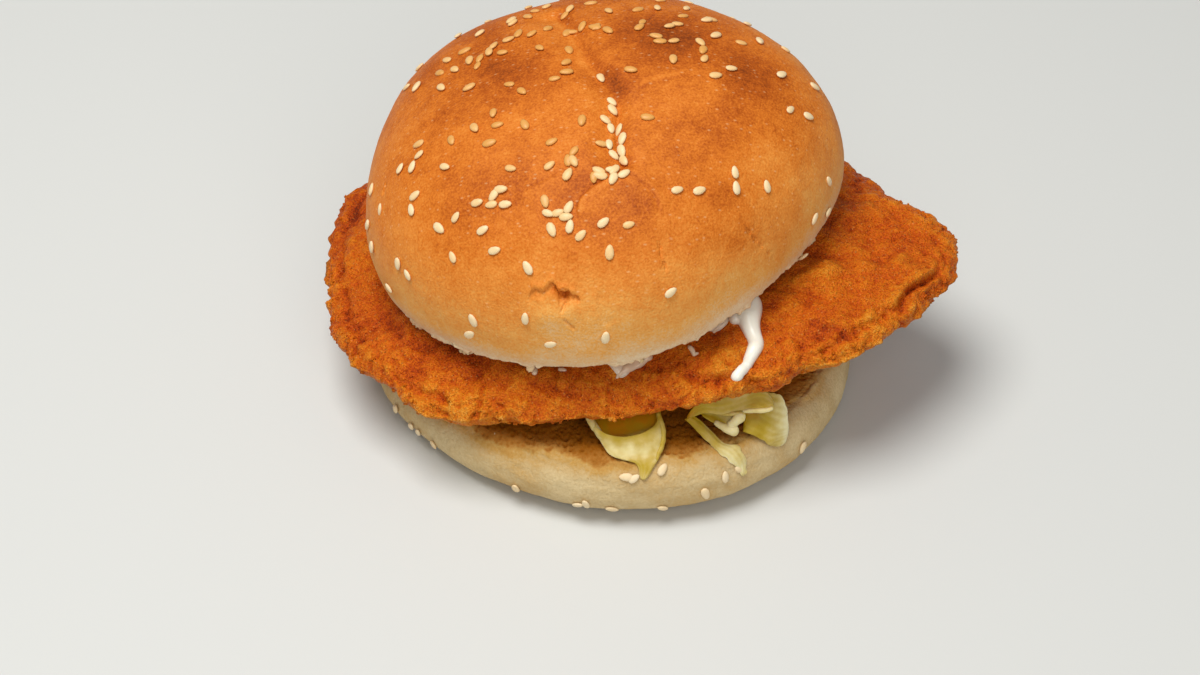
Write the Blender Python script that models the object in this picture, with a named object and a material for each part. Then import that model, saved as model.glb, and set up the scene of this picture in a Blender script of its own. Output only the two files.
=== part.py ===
"""Chicken burger: a seeded bun cut in two, iceberg lettuce, a long breaded fillet and mayonnaise.

The world is in metres, +Z up. The origin is the middle of the flat base of the bottom bun. +X runs along
the long way of the fillet, to its pointed end, and -Y is the side where lettuce and sauce show.
All sizes below are in millimetres, and all bearings in degrees, from +X round to +Y.
"""
import math

import bpy
from mathutils import Matrix, Vector

MM = 0.001
GAP = 0.3                       # air left between two layers that rest on each other
SKIN_GAP = 0.5                  # the same between two curved layers, whose flat facets differ a little

# Bottom bun. A wave is (number round the bun, height, bearing of a crest).
HEEL_RADIUS = 62.6
HEEL_WAVES = ((1, 0.5, -55), (2, 1.3, -30), (3, 1.4, -57))
HEEL_HEIGHT = 18.0
HEEL_GIRTH_HEIGHT = 8.0
HEEL_CUT_INSET = 5.0            # how far the cut edge lies inside the girth
HEEL_BASE_INSET = 12.0          # how far the flat base lies inside the girth
HEEL_CUT_SHOULDER = 2.5         # width of the soft edge round the cut face

# Top bun, in its own frame: its cut face is at height 0. It leans, with the +X side up. The crease is a
# fold in the crust over the dome, given by its line as seen from above.
CROWN_RADIUS = 59.8
CROWN_WAVES = ((2, 1.1, 11), (3, 1.0, 7), (4, 0.5, 10), (5, 0.7, -3))
CROWN_HEIGHT = 48.0
CROWN_GIRTH_HEIGHT = 10.0
CROWN_CUT_INSET = 4.2
CROWN_SQUARENESS = 2.2          # 2 is an ellipse, more is fuller at the shoulder
CROWN_CENTRE = (-2.1, 9.4, 40.5)
CROWN_LEAN = 9.0
CREASE = ((-8, 34), (-3, 23), (1, 12), (5, 2), (7.5, -8), (9.7, -17), (10.7, -26), (10.7, -33))
CREASE_DEPTH = 1.6
CREASE_HALF_WIDTH = 4.0
FACE_RING_INSET = 25.0          # a second ring on each flat face of the bun, inside its edge

# Fillet: the distance from its middle to its edge at each bearing.
FILLET_MIDDLE = (5.0, 0.0)
FILLET_EDGE = (
    (2, 79.5), (9, 70), (20, 66), (32, 63), (47, 60), (62, 54), (78, 50), (94, 49), (110, 51), (125, 58),
    (138, 70), (149, 84), (157, 85), (166, 82), (180, 81), (192, 79), (203, 75), (214, 71), (224, 68),
    (232, 64), (240, 58), (250, 54.5), (266, 52), (281, 54), (296, 56.5), (308, 61.5), (320, 66.5), (331, 72),
    (341, 78.5), (349, 83), (355, 83.5),
)
FILLET_HEIGHT = 30.8            # of the edge's middle, halfway along the lean
FILLET_LEAN = 9.0               # the two ends lie this far above and below that
FILLET_LEAN_LENGTH = 55.0
FILLET_LEAN_X = 10.0
FILLET_ARCH = 3.5               # the middle rides this much higher, on the lettuce
FILLET_HALF_THICK = 6.5
FILLET_EDGE_HALF_THICK = 4.8
FILLET_EDGE_ROUNDNESS = 12      # a higher power keeps the edge fuller
FILLET_EDGE_WAVES = ((11, 0.55, 3), (17, 0.35, 5))
FILLET_RUFFLE_WAVES = ((9, 0.9, 7),)          # the edge rises and falls
FILLET_BUMP = 0.35
FILLET_BUMP_SPACING = (17.0, 20.0)            # from a bump to the next hollow, along and across

# Lettuce: the same kind of outline, with two clumps that reach out over the bottom bun's cut edge.
LETTUCE_MIDDLE = (8.0, -4.0)
LETTUCE_EDGE = (
    (0, 38), (25, 40), (50, 45), (75, 50), (100, 49), (125, 43), (150, 36), (180, 32), (210, 32), (235, 36),
    (248, 45), (257, 53), (267, 58), (272, 56), (278, 47), (284, 46), (290, 53), (298, 59), (306, 60),
    (311, 56), (317, 46), (330, 39),
)
LETTUCE_FRILL_WAVES = ((13, 0.8, 7),)
LETTUCE_CLUMP_HEIGHT = 23.3     # of a clump's top over the middle of the bottom bun
LETTUCE_SLOPE = 0.16            # the clumps stand higher to the +X side, as the gap opens
LETTUCE_FOLD = 1.2
LETTUCE_FOLD_SPACING = 25.0

# Mayonnaise: a thin layer under the top bun, and a drip that runs out of it over the fillet.
SAUCE_MIDDLE = (0.0, 4.0)
SAUCE_RADIUS = 44.0
SAUCE_WAVES = ((1, 2.0, -80), (3, 1.5, 40), (7, 1.0, 10))
SAUCE_THICK = 2.2               # at most, where the top bun leaves room for it
DRIP_PATH = ((26, -22), (31, -29), (33.5, -35), (34, -41), (31, -45.5), (28, -48))
DRIP_HALF_WIDTHS = (3.0, 4.2, 3.4, 3.2, 2.8, 2.4)
DRIP_HEIGHT = 2.4


# Helpers

def clear_scene():
    for thing in list(bpy.data.objects):
        bpy.data.objects.remove(thing, do_unlink=True)


def crust_material(name, colour, roughness):
    material = bpy.data.materials.new(name)
    material.use_nodes = True
    shader = material.node_tree.nodes["Principled BSDF"]
    shader.inputs["Base Color"].default_value = (*colour, 1.0)
    shader.inputs["Roughness"].default_value = roughness
    return material


def bearings(count):
    return [math.tau * step / count for step in range(count)]


def waves_at(bearing, waves):
    return sum(height * math.cos(number * (bearing - math.radians(crest)))
               for number, height, crest in waves)


def spline_radius(bearing, edge):
    """Radius of a smooth closed outline through (bearing, radius) knots, by a Catmull-Rom curve."""
    angle = math.degrees(bearing) % 360
    count = len(edge)
    last = max((i for i in range(count) if edge[i][0] <= angle), default=count - 1)
    knots = [edge[(last + step) % count] for step in (-1, 0, 1, 2)]
    start = knots[1][0]
    span = (knots[2][0] - start) % 360
    t = ((angle - start) % 360) / span
    r0, r1, r2, r3 = (knot[1] for knot in knots)
    slope1 = (r2 - r0) / ((knots[2][0] - knots[0][0]) % 360) * span
    slope2 = (r3 - r1) / ((knots[3][0] - knots[1][0]) % 360) * span
    return ((2 * t**3 - 3 * t**2 + 1) * r1 + (t**3 - 2 * t**2 + t) * slope1
            + (3 * t**2 - 2 * t**3) * r2 + (t**3 - t**2) * slope2)


def skin(name, bottom, rings, top, material):
    """One closed body through rings of points, which run up from the bottom point to the top point."""
    count = len(rings[0])
    points = [Vector(point) * MM for ring in rings for point in ring]
    points += [Vector(bottom) * MM, Vector(top) * MM]
    below, above = len(points) - 2, len(points) - 1
    last = (len(rings) - 1) * count
    faces = []
    for i in range(count):
        j = (i + 1) % count
        faces.append((below, j, i))
        faces.append((above, last + i, last + j))
        for row in range(0, last, count):
            faces.append((row + i, row + j, row + count + j, row + count + i))
    mesh = bpy.data.meshes.new(name)
    mesh.from_pydata(points, [], faces)
    mesh.materials.append(material)
    mesh.shade_smooth()
    mesh.set_sharp_from_angle(angle=math.radians(45))
    piece = bpy.data.objects.new(name, mesh)
    bpy.context.collection.objects.link(piece)
    return piece


# Bottom bun

def heel_profile():
    """(inset from the girth, height) from the flat base, round the lower edge, to the cut face."""
    rows = [(HEEL_BASE_INSET + FACE_RING_INSET, 0.0), (HEEL_BASE_INSET, 0.0)]
    for step in range(1, 5):
        turn = math.radians(90 * step / 4)
        rows.append((HEEL_BASE_INSET * (1 - math.sin(turn)), HEEL_GIRTH_HEIGHT * (1 - math.cos(turn))))
    rise = HEEL_HEIGHT - HEEL_GIRTH_HEIGHT
    widest_turn = math.radians(65)
    for step in range(1, 5):
        turn = widest_turn * step / 4
        inset = HEEL_CUT_INSET * (1 - math.cos(turn)) / (1 - math.cos(widest_turn))
        rows.append((inset, HEEL_GIRTH_HEIGHT + rise * math.sin(turn) / math.sin(widest_turn)))
    rows.append((HEEL_CUT_INSET + HEEL_CUT_SHOULDER, HEEL_HEIGHT))
    rows.append((HEEL_CUT_INSET + FACE_RING_INSET, HEEL_HEIGHT))
    return rows


def heel_radius(bearing):
    return HEEL_RADIUS + waves_at(bearing, HEEL_WAVES)


def bottom_bun(material):
    rings = []
    for inset, height in heel_profile():
        ring = []
        for bearing in bearings(72):
            radius = heel_radius(bearing) - inset
            ring.append((radius * math.cos(bearing), radius * math.sin(bearing), height))
        rings.append(ring)
    return skin("bottom_bun", (0, 0, 0), rings, (0, 0, HEEL_HEIGHT), material)


# Fillet

def fillet_radius(bearing):
    return spline_radius(bearing, FILLET_EDGE) + waves_at(bearing, FILLET_EDGE_WAVES)


def fillet_reach(x, y):
    """0 at the middle of the fillet and 1 at its edge, with the bearing of the point."""
    across, along = y - FILLET_MIDDLE[1], x - FILLET_MIDDLE[0]
    bearing = math.atan2(across, along)
    return math.hypot(along, across) / fillet_radius(bearing), bearing


def fillet_heart(x, y):
    """Height of the surface halfway between the fillet's two faces."""
    reach, bearing = fillet_reach(x, y)
    lean = FILLET_LEAN * math.tanh((x - FILLET_LEAN_X) / FILLET_LEAN_LENGTH)
    ruffle = reach**4 * waves_at(bearing, FILLET_RUFFLE_WAVES)
    return FILLET_HEIGHT + lean + FILLET_ARCH * (1 - reach**2) + ruffle


def fillet_half_thick(x, y):
    reach = min(fillet_reach(x, y)[0], 1.0)
    thick = FILLET_EDGE_HALF_THICK + (FILLET_HALF_THICK - FILLET_EDGE_HALF_THICK) * (1 - reach**2)
    return thick * math.sqrt(1 - reach**FILLET_EDGE_ROUNDNESS)


def fillet_bump(x, y):
    along, across = FILLET_BUMP_SPACING
    return FILLET_BUMP * math.sin(math.pi * x / along) * math.sin(math.pi * y / across)


def fillet_top(x, y):
    return fillet_heart(x, y) + fillet_half_thick(x, y) + fillet_bump(x, y)


def fillet_under(x, y):
    return fillet_heart(x, y) - fillet_half_thick(x, y)


def chicken_fillet(material):
    reaches = (0.25, 0.5, 0.7, 0.84, 0.92, 0.97, 0.992)
    faces = [(reach, fillet_under) for reach in reaches] + [(1.0, fillet_heart)]
    faces += [(reach, fillet_top) for reach in reversed(reaches)]
    rings = []
    for reach, height_at in faces:
        ring = []
        for bearing in bearings(96):
            radius = fillet_radius(bearing) * reach
            x = FILLET_MIDDLE[0] + radius * math.cos(bearing)
            y = FILLET_MIDDLE[1] + radius * math.sin(bearing)
            ring.append((x, y, height_at(x, y)))
        rings.append(ring)
    x, y = FILLET_MIDDLE
    return skin("chicken_fillet", (x, y, fillet_under(x, y)), rings, (x, y, fillet_top(x, y)), material)


# Lettuce

def lettuce_top(x, y):
    fold = LETTUCE_FOLD * math.sin(math.tau * x / LETTUCE_FOLD_SPACING)
    free = LETTUCE_CLUMP_HEIGHT + LETTUCE_SLOPE * x + fold
    return min(free, fillet_under(x, y) - SKIN_GAP)


def lettuce(material):
    floor = HEEL_HEIGHT + GAP
    rows = ((0.5, 0.0), (0.85, 0.0), (0.97, 0.12), (1.0, 0.4), (0.98, 0.75), (0.93, 0.95), (0.8, 1.0), (0.5, 1.0))
    rings = []
    for reach, level in rows:
        ring = []
        for bearing in bearings(88):
            frill = waves_at(bearing, LETTUCE_FRILL_WAVES)
            radius = (spline_radius(bearing, LETTUCE_EDGE) + frill) * reach
            x = LETTUCE_MIDDLE[0] + radius * math.cos(bearing)
            y = LETTUCE_MIDDLE[1] + radius * math.sin(bearing)
            ring.append((x, y, floor + (lettuce_top(x, y) - floor) * level))
        rings.append(ring)
    x, y = LETTUCE_MIDDLE
    return skin("lettuce", (x, y, floor), rings, (x, y, lettuce_top(x, y)), material)


# Mayonnaise

def crown_turn():
    return Matrix.Rotation(math.radians(-CROWN_LEAN), 3, "Y")


def cut_face(x, y):
    """Height of the top bun's cut face over a point."""
    normal = crown_turn() @ Vector((0, 0, 1))
    along, across = x - CROWN_CENTRE[0], y - CROWN_CENTRE[1]
    return CROWN_CENTRE[2] - (normal.x * along + normal.y * across) / normal.z


def sauce_bottom(x, y):
    return fillet_top(x, y) + SKIN_GAP


def sauce_top(x, y):
    return min(cut_face(x, y) - GAP, sauce_bottom(x, y) + SAUCE_THICK)


def sauce_layer(material):
    rings = []
    for reach, level in ((0.35, 0), (0.7, 0), (0.95, 0), (1.0, 0.5), (0.95, 1), (0.7, 1), (0.35, 1)):
        ring = []
        for bearing in bearings(56):
            radius = (SAUCE_RADIUS + waves_at(bearing, SAUCE_WAVES)) * reach
            x = SAUCE_MIDDLE[0] + radius * math.cos(bearing)
            y = SAUCE_MIDDLE[1] + radius * math.sin(bearing)
            ring.append((x, y, sauce_bottom(x, y) * (1 - level) + sauce_top(x, y) * level))
        rings.append(ring)
    x, y = SAUCE_MIDDLE
    return skin("mayonnaise", (x, y, sauce_bottom(x, y)), rings, (x, y, sauce_top(x, y)), material)


def sauce_drip(material):
    """The drip: rings across its path, flat below where it lies on the fillet and round on top."""
    rings = []
    path = [Vector(point) for point in DRIP_PATH]
    for i, (point, half_width) in enumerate(zip(path, DRIP_HALF_WIDTHS)):
        ahead = path[min(i + 1, len(path) - 1)] - path[max(i - 1, 0)]
        side = Vector((ahead.y, -ahead.x)).normalized()
        ring = []
        for bearing in bearings(14):
            spot = point + side * half_width * math.cos(bearing)
            floor = sauce_bottom(*spot)
            roof = min(floor + DRIP_HEIGHT, cut_face(*spot) - GAP)
            ring.append((*spot, floor + (roof - floor) * max(math.sin(bearing), 0.0)))
        rings.append(ring)
    first, last = (Vector((*path[i], sauce_bottom(*path[i]) + DRIP_HEIGHT / 2)) for i in (0, -1))
    return skin("drip", first, rings, last, material)


def mayonnaise(material):
    layer = sauce_layer(material)
    drip = sauce_drip(material)
    drip.hide_render = True
    drip.display_type = "WIRE"
    union = layer.modifiers.new("drip", "BOOLEAN")
    union.operation = "UNION"
    union.object = drip
    return layer


# Top bun

def crease_depth(x, y):
    """Depth of the fold at a point, seen from above: full on its line, none beyond its half width."""
    nearest = min(segment_distance(Vector((x, y)), Vector(start), Vector(end))
                  for start, end in zip(CREASE, CREASE[1:]))
    if nearest > CREASE_HALF_WIDTH:
        return 0.0
    return CREASE_DEPTH * (1 + math.cos(math.pi * nearest / CREASE_HALF_WIDTH)) / 2


def segment_distance(point, start, end):
    along = (point - start).dot(end - start) / (end - start).length_squared
    return (point - start.lerp(end, min(max(along, 0.0), 1.0))).length


def crown_profile():
    """(inset from the girth, height) from the cut edge, round the girth, over the dome."""
    rows = [(CROWN_CUT_INSET + FACE_RING_INSET, 0.0), (CROWN_CUT_INSET, 0.0)]
    for step in range(1, 5):
        turn = math.radians(90 * step / 4)
        rows.append((CROWN_CUT_INSET * (1 - math.sin(turn)), CROWN_GIRTH_HEIGHT * (1 - math.cos(turn))))
    power = 2 / CROWN_SQUARENESS
    rise = CROWN_HEIGHT - CROWN_GIRTH_HEIGHT
    for step in range(1, 14):
        turn = math.radians(90 * step / 14)
        inset = CROWN_RADIUS * (1 - math.cos(turn) ** power)
        rows.append((inset, CROWN_GIRTH_HEIGHT + rise * math.sin(turn) ** power))
    return rows


def top_bun(material):
    rings = []
    for inset, height in crown_profile():
        ring = []
        for bearing in bearings(80):
            share = 1 - inset / CROWN_RADIUS
            radius = (CROWN_RADIUS + waves_at(bearing, CROWN_WAVES)) * share
            x, y = radius * math.cos(bearing), radius * math.sin(bearing)
            fold = crease_depth(x, y) if height > CROWN_GIRTH_HEIGHT else 0.0
            ring.append((x, y, height - fold))
        rings.append(ring)
    crown = skin("top_bun", (0, 0, 0), rings, (0, 0, CROWN_HEIGHT - crease_depth(0, 0)), material)
    crown.location = Vector(CROWN_CENTRE) * MM
    crown.rotation_euler = crown_turn().to_euler()
    return crown


def build():
    clear_scene()
    bottom_bun(crust_material("pale_crust", (0.56, 0.43, 0.24), 0.75))
    lettuce(crust_material("lettuce_leaf", (0.52, 0.55, 0.16), 0.45))
    chicken_fillet(crust_material("fried_breading", (0.55, 0.16, 0.02), 0.6))
    mayonnaise(crust_material("mayonnaise", (0.83, 0.79, 0.68), 0.25))
    top_bun(crust_material("browned_crust", (0.68, 0.26, 0.06), 0.5))


build()
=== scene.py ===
# %% [markdown]
# # A chicken burger
# A fried chicken fillet between the halves of a seeded bun, on a little lettuce and under thin mayonnaise.
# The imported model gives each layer's true place and size. This notebook gives each layer its surface.

# %% Load the frame
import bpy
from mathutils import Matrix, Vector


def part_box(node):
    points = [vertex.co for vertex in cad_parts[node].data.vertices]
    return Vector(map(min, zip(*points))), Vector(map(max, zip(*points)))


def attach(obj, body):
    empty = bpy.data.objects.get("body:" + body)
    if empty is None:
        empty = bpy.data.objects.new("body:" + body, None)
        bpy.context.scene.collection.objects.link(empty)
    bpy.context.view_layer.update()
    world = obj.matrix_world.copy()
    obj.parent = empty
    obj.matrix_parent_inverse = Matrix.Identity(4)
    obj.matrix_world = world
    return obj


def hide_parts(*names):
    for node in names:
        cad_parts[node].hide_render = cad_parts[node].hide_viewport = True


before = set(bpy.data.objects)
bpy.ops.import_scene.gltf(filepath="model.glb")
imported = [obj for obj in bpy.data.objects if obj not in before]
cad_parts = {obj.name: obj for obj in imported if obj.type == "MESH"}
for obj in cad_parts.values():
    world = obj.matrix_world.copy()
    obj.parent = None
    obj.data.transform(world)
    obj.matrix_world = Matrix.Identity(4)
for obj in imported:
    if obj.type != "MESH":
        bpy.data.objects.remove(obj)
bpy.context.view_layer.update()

import itertools
import math

import bmesh
import bpy
import numpy as np
from mathutils import Euler, Matrix, Vector
from mathutils.bvhtree import BVHTree

MM = 0.001

# %% [markdown]
# ## Tools
# Sizes are in millimetres until a mesh is made. Colours are sRGB hex, as a colour picker shows them.


# %% Colour and nodes
def colour(hex_code):
    """Linear red, green, blue and alpha from an sRGB hex code."""
    parts = [int(hex_code[i:i + 2], 16) / 255 for i in (1, 3, 5)]
    return [c / 12.92 if c <= 0.04045 else ((c + 0.055) / 1.055) ** 2.4 for c in parts] + [1.0]


def set_inputs(tree, node, inputs):
    """Sets inputs by name to a value, to an output, or to the first output of another node."""
    for name, value in inputs.items():
        if isinstance(value, bpy.types.Node):
            value = value.outputs[0]
        if isinstance(value, bpy.types.NodeSocket):
            tree.links.new(value, node.inputs[name])
        else:
            node.inputs[name].default_value = value


def add_node(tree, kind, inputs={}, stops=(), **settings):
    """One node with its settings and inputs; stops are the places and colours of a ramp."""
    node = tree.nodes.new(kind)
    for name, value in settings.items():
        setattr(node, name, value)
    set_inputs(tree, node, inputs)
    for _ in stops[2:]:
        node.color_ramp.elements.new(0.5)
    for element, (place, shade) in zip(node.color_ramp.elements if stops else (), stops):
        element.position = place
        element.color = colour(shade)
    return node


def new_material(name, **sockets):
    """A material with only a Principled shader, whose plain sockets are set by name."""
    material = bpy.data.materials.new(name)
    material.use_nodes = True
    shader = material.node_tree.nodes["Principled BSDF"]
    for socket, value in sockets.items():
        shader.inputs[socket.replace("_", " ")].default_value = value
    return material, material.node_tree, shader


def add_object(name, data):
    item = bpy.data.objects.new(name, data)
    bpy.context.scene.collection.objects.link(item)
    return item


# %% Noise over a surface
LATTICE_TURN = np.array(Euler((0.6, 0.4, 1.1)).to_matrix())  # so that its rows don't line up with a piece


def hashed(cells, seed):
    """A random number from 0 to 1 for each cell and seed. The large factors only stir the bits."""
    x, y, z = cells.astype(np.int64).T
    mixed = (x * 73856093) ^ (y * 19349663) ^ (z * 83492791) ^ (seed * 2654435761)
    mixed = ((mixed ^ (mixed >> 13)) * 1274126177) & 0x7FFFFFFF
    mixed = ((mixed ^ (mixed >> 16)) * 668265263) & 0x7FFFFFFF
    return mixed / 0x7FFFFFFF


def bumps(points, size, seed):
    """Smooth random heights from -1 to 1; size is the width of one bump in mm."""
    place = points @ LATTICE_TURN / size
    cell = np.floor(place)
    part = place - cell
    part = part ** 3 * (part * (part * 6 - 15) + 10)  # so that no crease shows
    total = np.zeros(len(points))
    for corner in itertools.product((0, 1), repeat=3):
        share = np.prod(np.where(corner, part, 1 - part), axis=1)
        total += share * (hashed(cell + corner, seed) * 2 - 1)
    return total


def grains(points, size, seed):
    """Distance to the nearest of many scattered grains: 0 on one and near 1 between them."""
    place = points @ LATTICE_TURN / size
    cell = np.floor(place)
    nearest = np.full(len(points), np.inf)
    for step in itertools.product((-1, 0, 1), repeat=3):
        near = cell + step
        grain = near + np.stack([hashed(near, seed + i) for i in (0, 101, 202)], axis=1)
        nearest = np.minimum(nearest, np.linalg.norm(place - grain, axis=1))
    return nearest


def ease(value, start, end):
    """Rises smoothly from 0 at start to 1 at end."""
    part = np.clip((value - start) / (end - start), 0, 1)
    return part * part * (3 - 2 * part)


def bell(distance, width):
    """A smooth hump: 1 where the distance is 0, and nearly gone at twice the width."""
    return np.exp(-(distance / width) ** 2)


# %% [markdown]
# ## Round shapes without a pinched pole
# Rings and meridians crowd a dome's faces at its top. A square grid pressed into a disc keeps them nearly
# one size. Each corner of the grid becomes a reach, 0 in the middle and 1 at the rim, and a bearing.


# %% A grid pressed into a disc
def disc_grid(steps):
    """Reach and bearing of each grid point, the faces, and the loop of points round the rim."""
    line = np.linspace(-1, 1, steps + 1)
    u, v = (part.ravel() for part in np.meshgrid(line, line))
    reach = np.maximum(abs(u), abs(v))
    wide = abs(u) >= abs(v)
    safe_u, safe_v = np.where(u == 0, 1, u), np.where(v == 0, 1, v)
    bearing = np.where(wide, v / safe_u * math.pi / 4 + np.where(u < 0, math.pi, 0),
                       math.pi / 2 - u / safe_v * math.pi / 4 + np.where(v < 0, math.pi, 0))
    corner = np.arange((steps + 1) ** 2).reshape(steps + 1, steps + 1)
    faces = np.stack([corner[:-1, :-1], corner[:-1, 1:], corner[1:, 1:], corner[1:, :-1]], axis=-1)
    rim = np.concatenate([corner[0, :-1], corner[:-1, -1], corner[-1, :0:-1], corner[:0:-1, 0]])
    return reach, bearing, faces.reshape(-1, 4), rim


def polar(radius, bearing, height):
    return np.stack([radius * np.cos(bearing), radius * np.sin(bearing), height + 0 * radius], axis=1)


def make_piece(name, points, faces, material):
    """A smooth-shaded mesh object at the origin, from points in mm."""
    mesh = bpy.data.meshes.new(name)
    mesh.from_pydata((np.asarray(points) * MM).tolist(), [], [list(map(int, face)) for face in faces])
    mesh.materials.append(material)
    mesh.shade_smooth()
    return add_object(name, mesh)


def closed_below(name, points, faces, rim, rings, middle, material):
    """Closes a disc of faces underneath, with rings of points in from its rim and a middle point."""
    all_points = [points]
    all_faces = [faces]
    loop = rim
    for ring in rings:
        fresh = np.arange(len(ring)) + sum(map(len, all_points))
        all_points.append(ring)
        all_faces.append(np.stack([np.roll(loop, -1), loop, fresh, np.roll(fresh, -1)], axis=1))
        loop = fresh
    tip = sum(map(len, all_points))
    all_points.append(np.array([middle]))
    fan = np.stack([np.roll(loop, -1), loop, np.full(len(loop), tip)], axis=1)
    return make_piece(name, np.concatenate(all_points), [*np.concatenate(all_faces), *fan], material)


def mesh_points(piece):
    flat = np.empty(len(piece.data.vertices) * 3)
    piece.data.vertices.foreach_get("co", flat)
    return flat.reshape(-1, 3) / MM


def move_points(piece, points):
    piece.data.vertices.foreach_set("co", (points * MM).ravel())
    piece.data.update()


def push_out(piece, heights):
    """Moves each point along its normal by a height in mm."""
    normals = np.empty(len(piece.data.vertices) * 3)
    piece.data.vertex_normals.foreach_get("vector", normals)
    move_points(piece, mesh_points(piece) + normals.reshape(-1, 3) * heights[:, None])


def paint(piece, name, values):
    """Keeps one number for each point, which a material can read by name."""
    layer = piece.data.attributes.new(name, "FLOAT", "POINT")
    layer.data.foreach_set("value", np.clip(values, 0, 1))


def report_size(piece):
    shape = bmesh.new()
    shape.from_mesh(piece.data)
    volume = shape.calc_volume(signed=True) * 1e6
    shape.free()
    size = [round(side / MM, 1) for side in piece.dimensions]
    print(piece.name, size, "mm,", round(volume, 1), "cm3,", len(piece.data.polygons), "faces")


# %% [markdown]
# ## Stage, camera and light
# A pale table seen from above, as someone about to eat sees it, through a long lens. One large soft light
# hangs behind and to the left. A weaker one in front keeps the shade under the fillet brown and not black.

# %% Camera
VIEW_ANGLE = 27.0  # degrees, across the frame
LOOK_DOWN = 44.23  # degrees below level
CAMERA_ROLL = -0.79  # degrees
CAMERA_PLACE = (-3.4, -476.5, 468.5)  # mm

camera = add_object("camera", bpy.data.cameras.new("camera"))
camera.data.angle = math.radians(VIEW_ANGLE)
camera.location = Vector(CAMERA_PLACE) * MM
tilt = Matrix.Rotation(math.radians(90 - LOOK_DOWN), 3, "X")
camera.rotation_euler = (tilt @ Matrix.Rotation(math.radians(CAMERA_ROLL), 3, "Z")).to_euler()
bpy.context.scene.camera = camera
bpy.context.scene.view_settings.view_transform = "Standard"
print("camera", round(camera.location.length / MM), "mm from the middle of the bun's base")

# %% Floor and lights
FLOOR_SIZE = 4.0  # m
floor_material, _, _ = new_material("pale_table", Base_Color=colour("#cdcdc8"), Roughness=0.6)
floor_mesh = bpy.data.meshes.new("floor")
half = FLOOR_SIZE / 2
floor_corners = [(-half, -half, 0), (half, -half, 0), (half, half, 0), (-half, half, 0)]
floor_mesh.from_pydata(floor_corners, [], [(0, 1, 2, 3)])
floor_mesh.materials.append(floor_material)
floor = add_object("floor", floor_mesh)

# Name, place in m, width in m and power in W.
LIGHTS = (("key", (-0.24, -0.05, 1.12), 0.7, 12.5), ("fill", (0.2, -1.0, 0.75), 1.0, 5.0))
ROOM_COLOUR, ROOM_LIGHT = "#eef0f2", 0.27
for name, place, size, power in LIGHTS:
    lamp = bpy.data.lights.new(name, "AREA")
    lamp.shape, lamp.size, lamp.energy = "DISK", size, power
    light = add_object(name, lamp)
    light.location = place
    light.rotation_euler = (-Vector(place)).to_track_quat("-Z", "Y").to_euler()
world = bpy.data.worlds.new("room")
world.use_nodes = True
room = world.node_tree.nodes["Background"]
room.inputs["Color"].default_value = colour(ROOM_COLOUR)
room.inputs["Strength"].default_value = ROOM_LIGHT
bpy.context.scene.world = world

# %% [markdown]
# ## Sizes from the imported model
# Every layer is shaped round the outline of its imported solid: the farthest that it reaches from a middle
# line, at each bearing.


# %% Outlines
TURN = 2 * math.pi
SAME_BEARING = 0.002  # radians within which points count as one bearing


def node_points(name):
    return np.array([tuple(vertex.co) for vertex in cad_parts[name].data.vertices]) / MM


def outline_of(points, middle=(0, 0)):
    """The bearings round a middle at which a solid has points, and the farthest point at each."""
    out = points[:, :2] - middle
    bearing = np.round(np.arctan2(out[:, 1], out[:, 0]) % TURN, 3)
    radius = np.hypot(out[:, 0], out[:, 1])
    bearings = np.unique(bearing[radius > radius.max() / 4])
    return bearings, np.array([radius[abs(bearing - one) < SAME_BEARING].max() for one in bearings])


def radius_at(outline, bearing):
    return np.interp(bearing % TURN, *outline, period=TURN)


def along_profile(reach, inset, height):
    """Reads a profile at equal steps of its true length, so that the grid's faces stay even."""
    lengths = np.concatenate([[0], np.cumsum(np.hypot(np.diff(inset), np.diff(height)))])
    place = reach * lengths[-1]
    return np.interp(place, lengths, inset), np.interp(place, lengths, height)


def refine(piece, chosen):
    """Splits the faces with chosen middles in four, to carry fine relief."""
    shape = bmesh.new()
    shape.from_mesh(piece.data)
    middles = np.array([face.calc_center_median() for face in shape.faces]) / MM
    near = {edge for face, keep in zip(shape.faces, chosen(middles)) if keep for edge in face.edges}
    bmesh.ops.subdivide_edges(shape, edges=list(near), cuts=1, use_grid_fill=True)
    shape.to_mesh(piece.data)
    shape.free()


def read_paint(piece, name):
    values = np.empty(len(piece.data.vertices))
    piece.data.attributes[name].data.foreach_get("value", values)
    return values


# %% [markdown]
# ## Scattering with Geometry Nodes
# Seeds and crumbs repeat one small shape over a surface. Each tree has its sizes as named inputs and ends by
# making the copies real, and its result is kept as a plain mesh.


# %% Trees and how they are used
def new_tree(name, inputs):
    """A Geometry Nodes tree with named inputs and their default values."""
    tree = bpy.data.node_groups.new(name, "GeometryNodeTree")
    tree.interface.new_socket(name="Geometry", in_out="INPUT", socket_type="NodeSocketGeometry")
    for label, value in inputs.items():
        kind = "NodeSocketInt" if isinstance(value, int) else "NodeSocketFloat"
        tree.interface.new_socket(name=label, in_out="INPUT", socket_type=kind).default_value = value
    tree.interface.new_socket(name="Material", in_out="INPUT", socket_type="NodeSocketMaterial")
    tree.interface.new_socket(name="Geometry", in_out="OUTPUT", socket_type="NodeSocketGeometry")
    return tree, tree.nodes.new("NodeGroupInput").outputs


def end_tree(tree, instances, material):
    real = add_node(tree, "GeometryNodeRealizeInstances", {"Geometry": instances})
    dressed = add_node(tree, "GeometryNodeSetMaterial", {"Geometry": real, "Material": material})
    add_node(tree, "NodeGroupOutput", {"Geometry": dressed})


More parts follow.
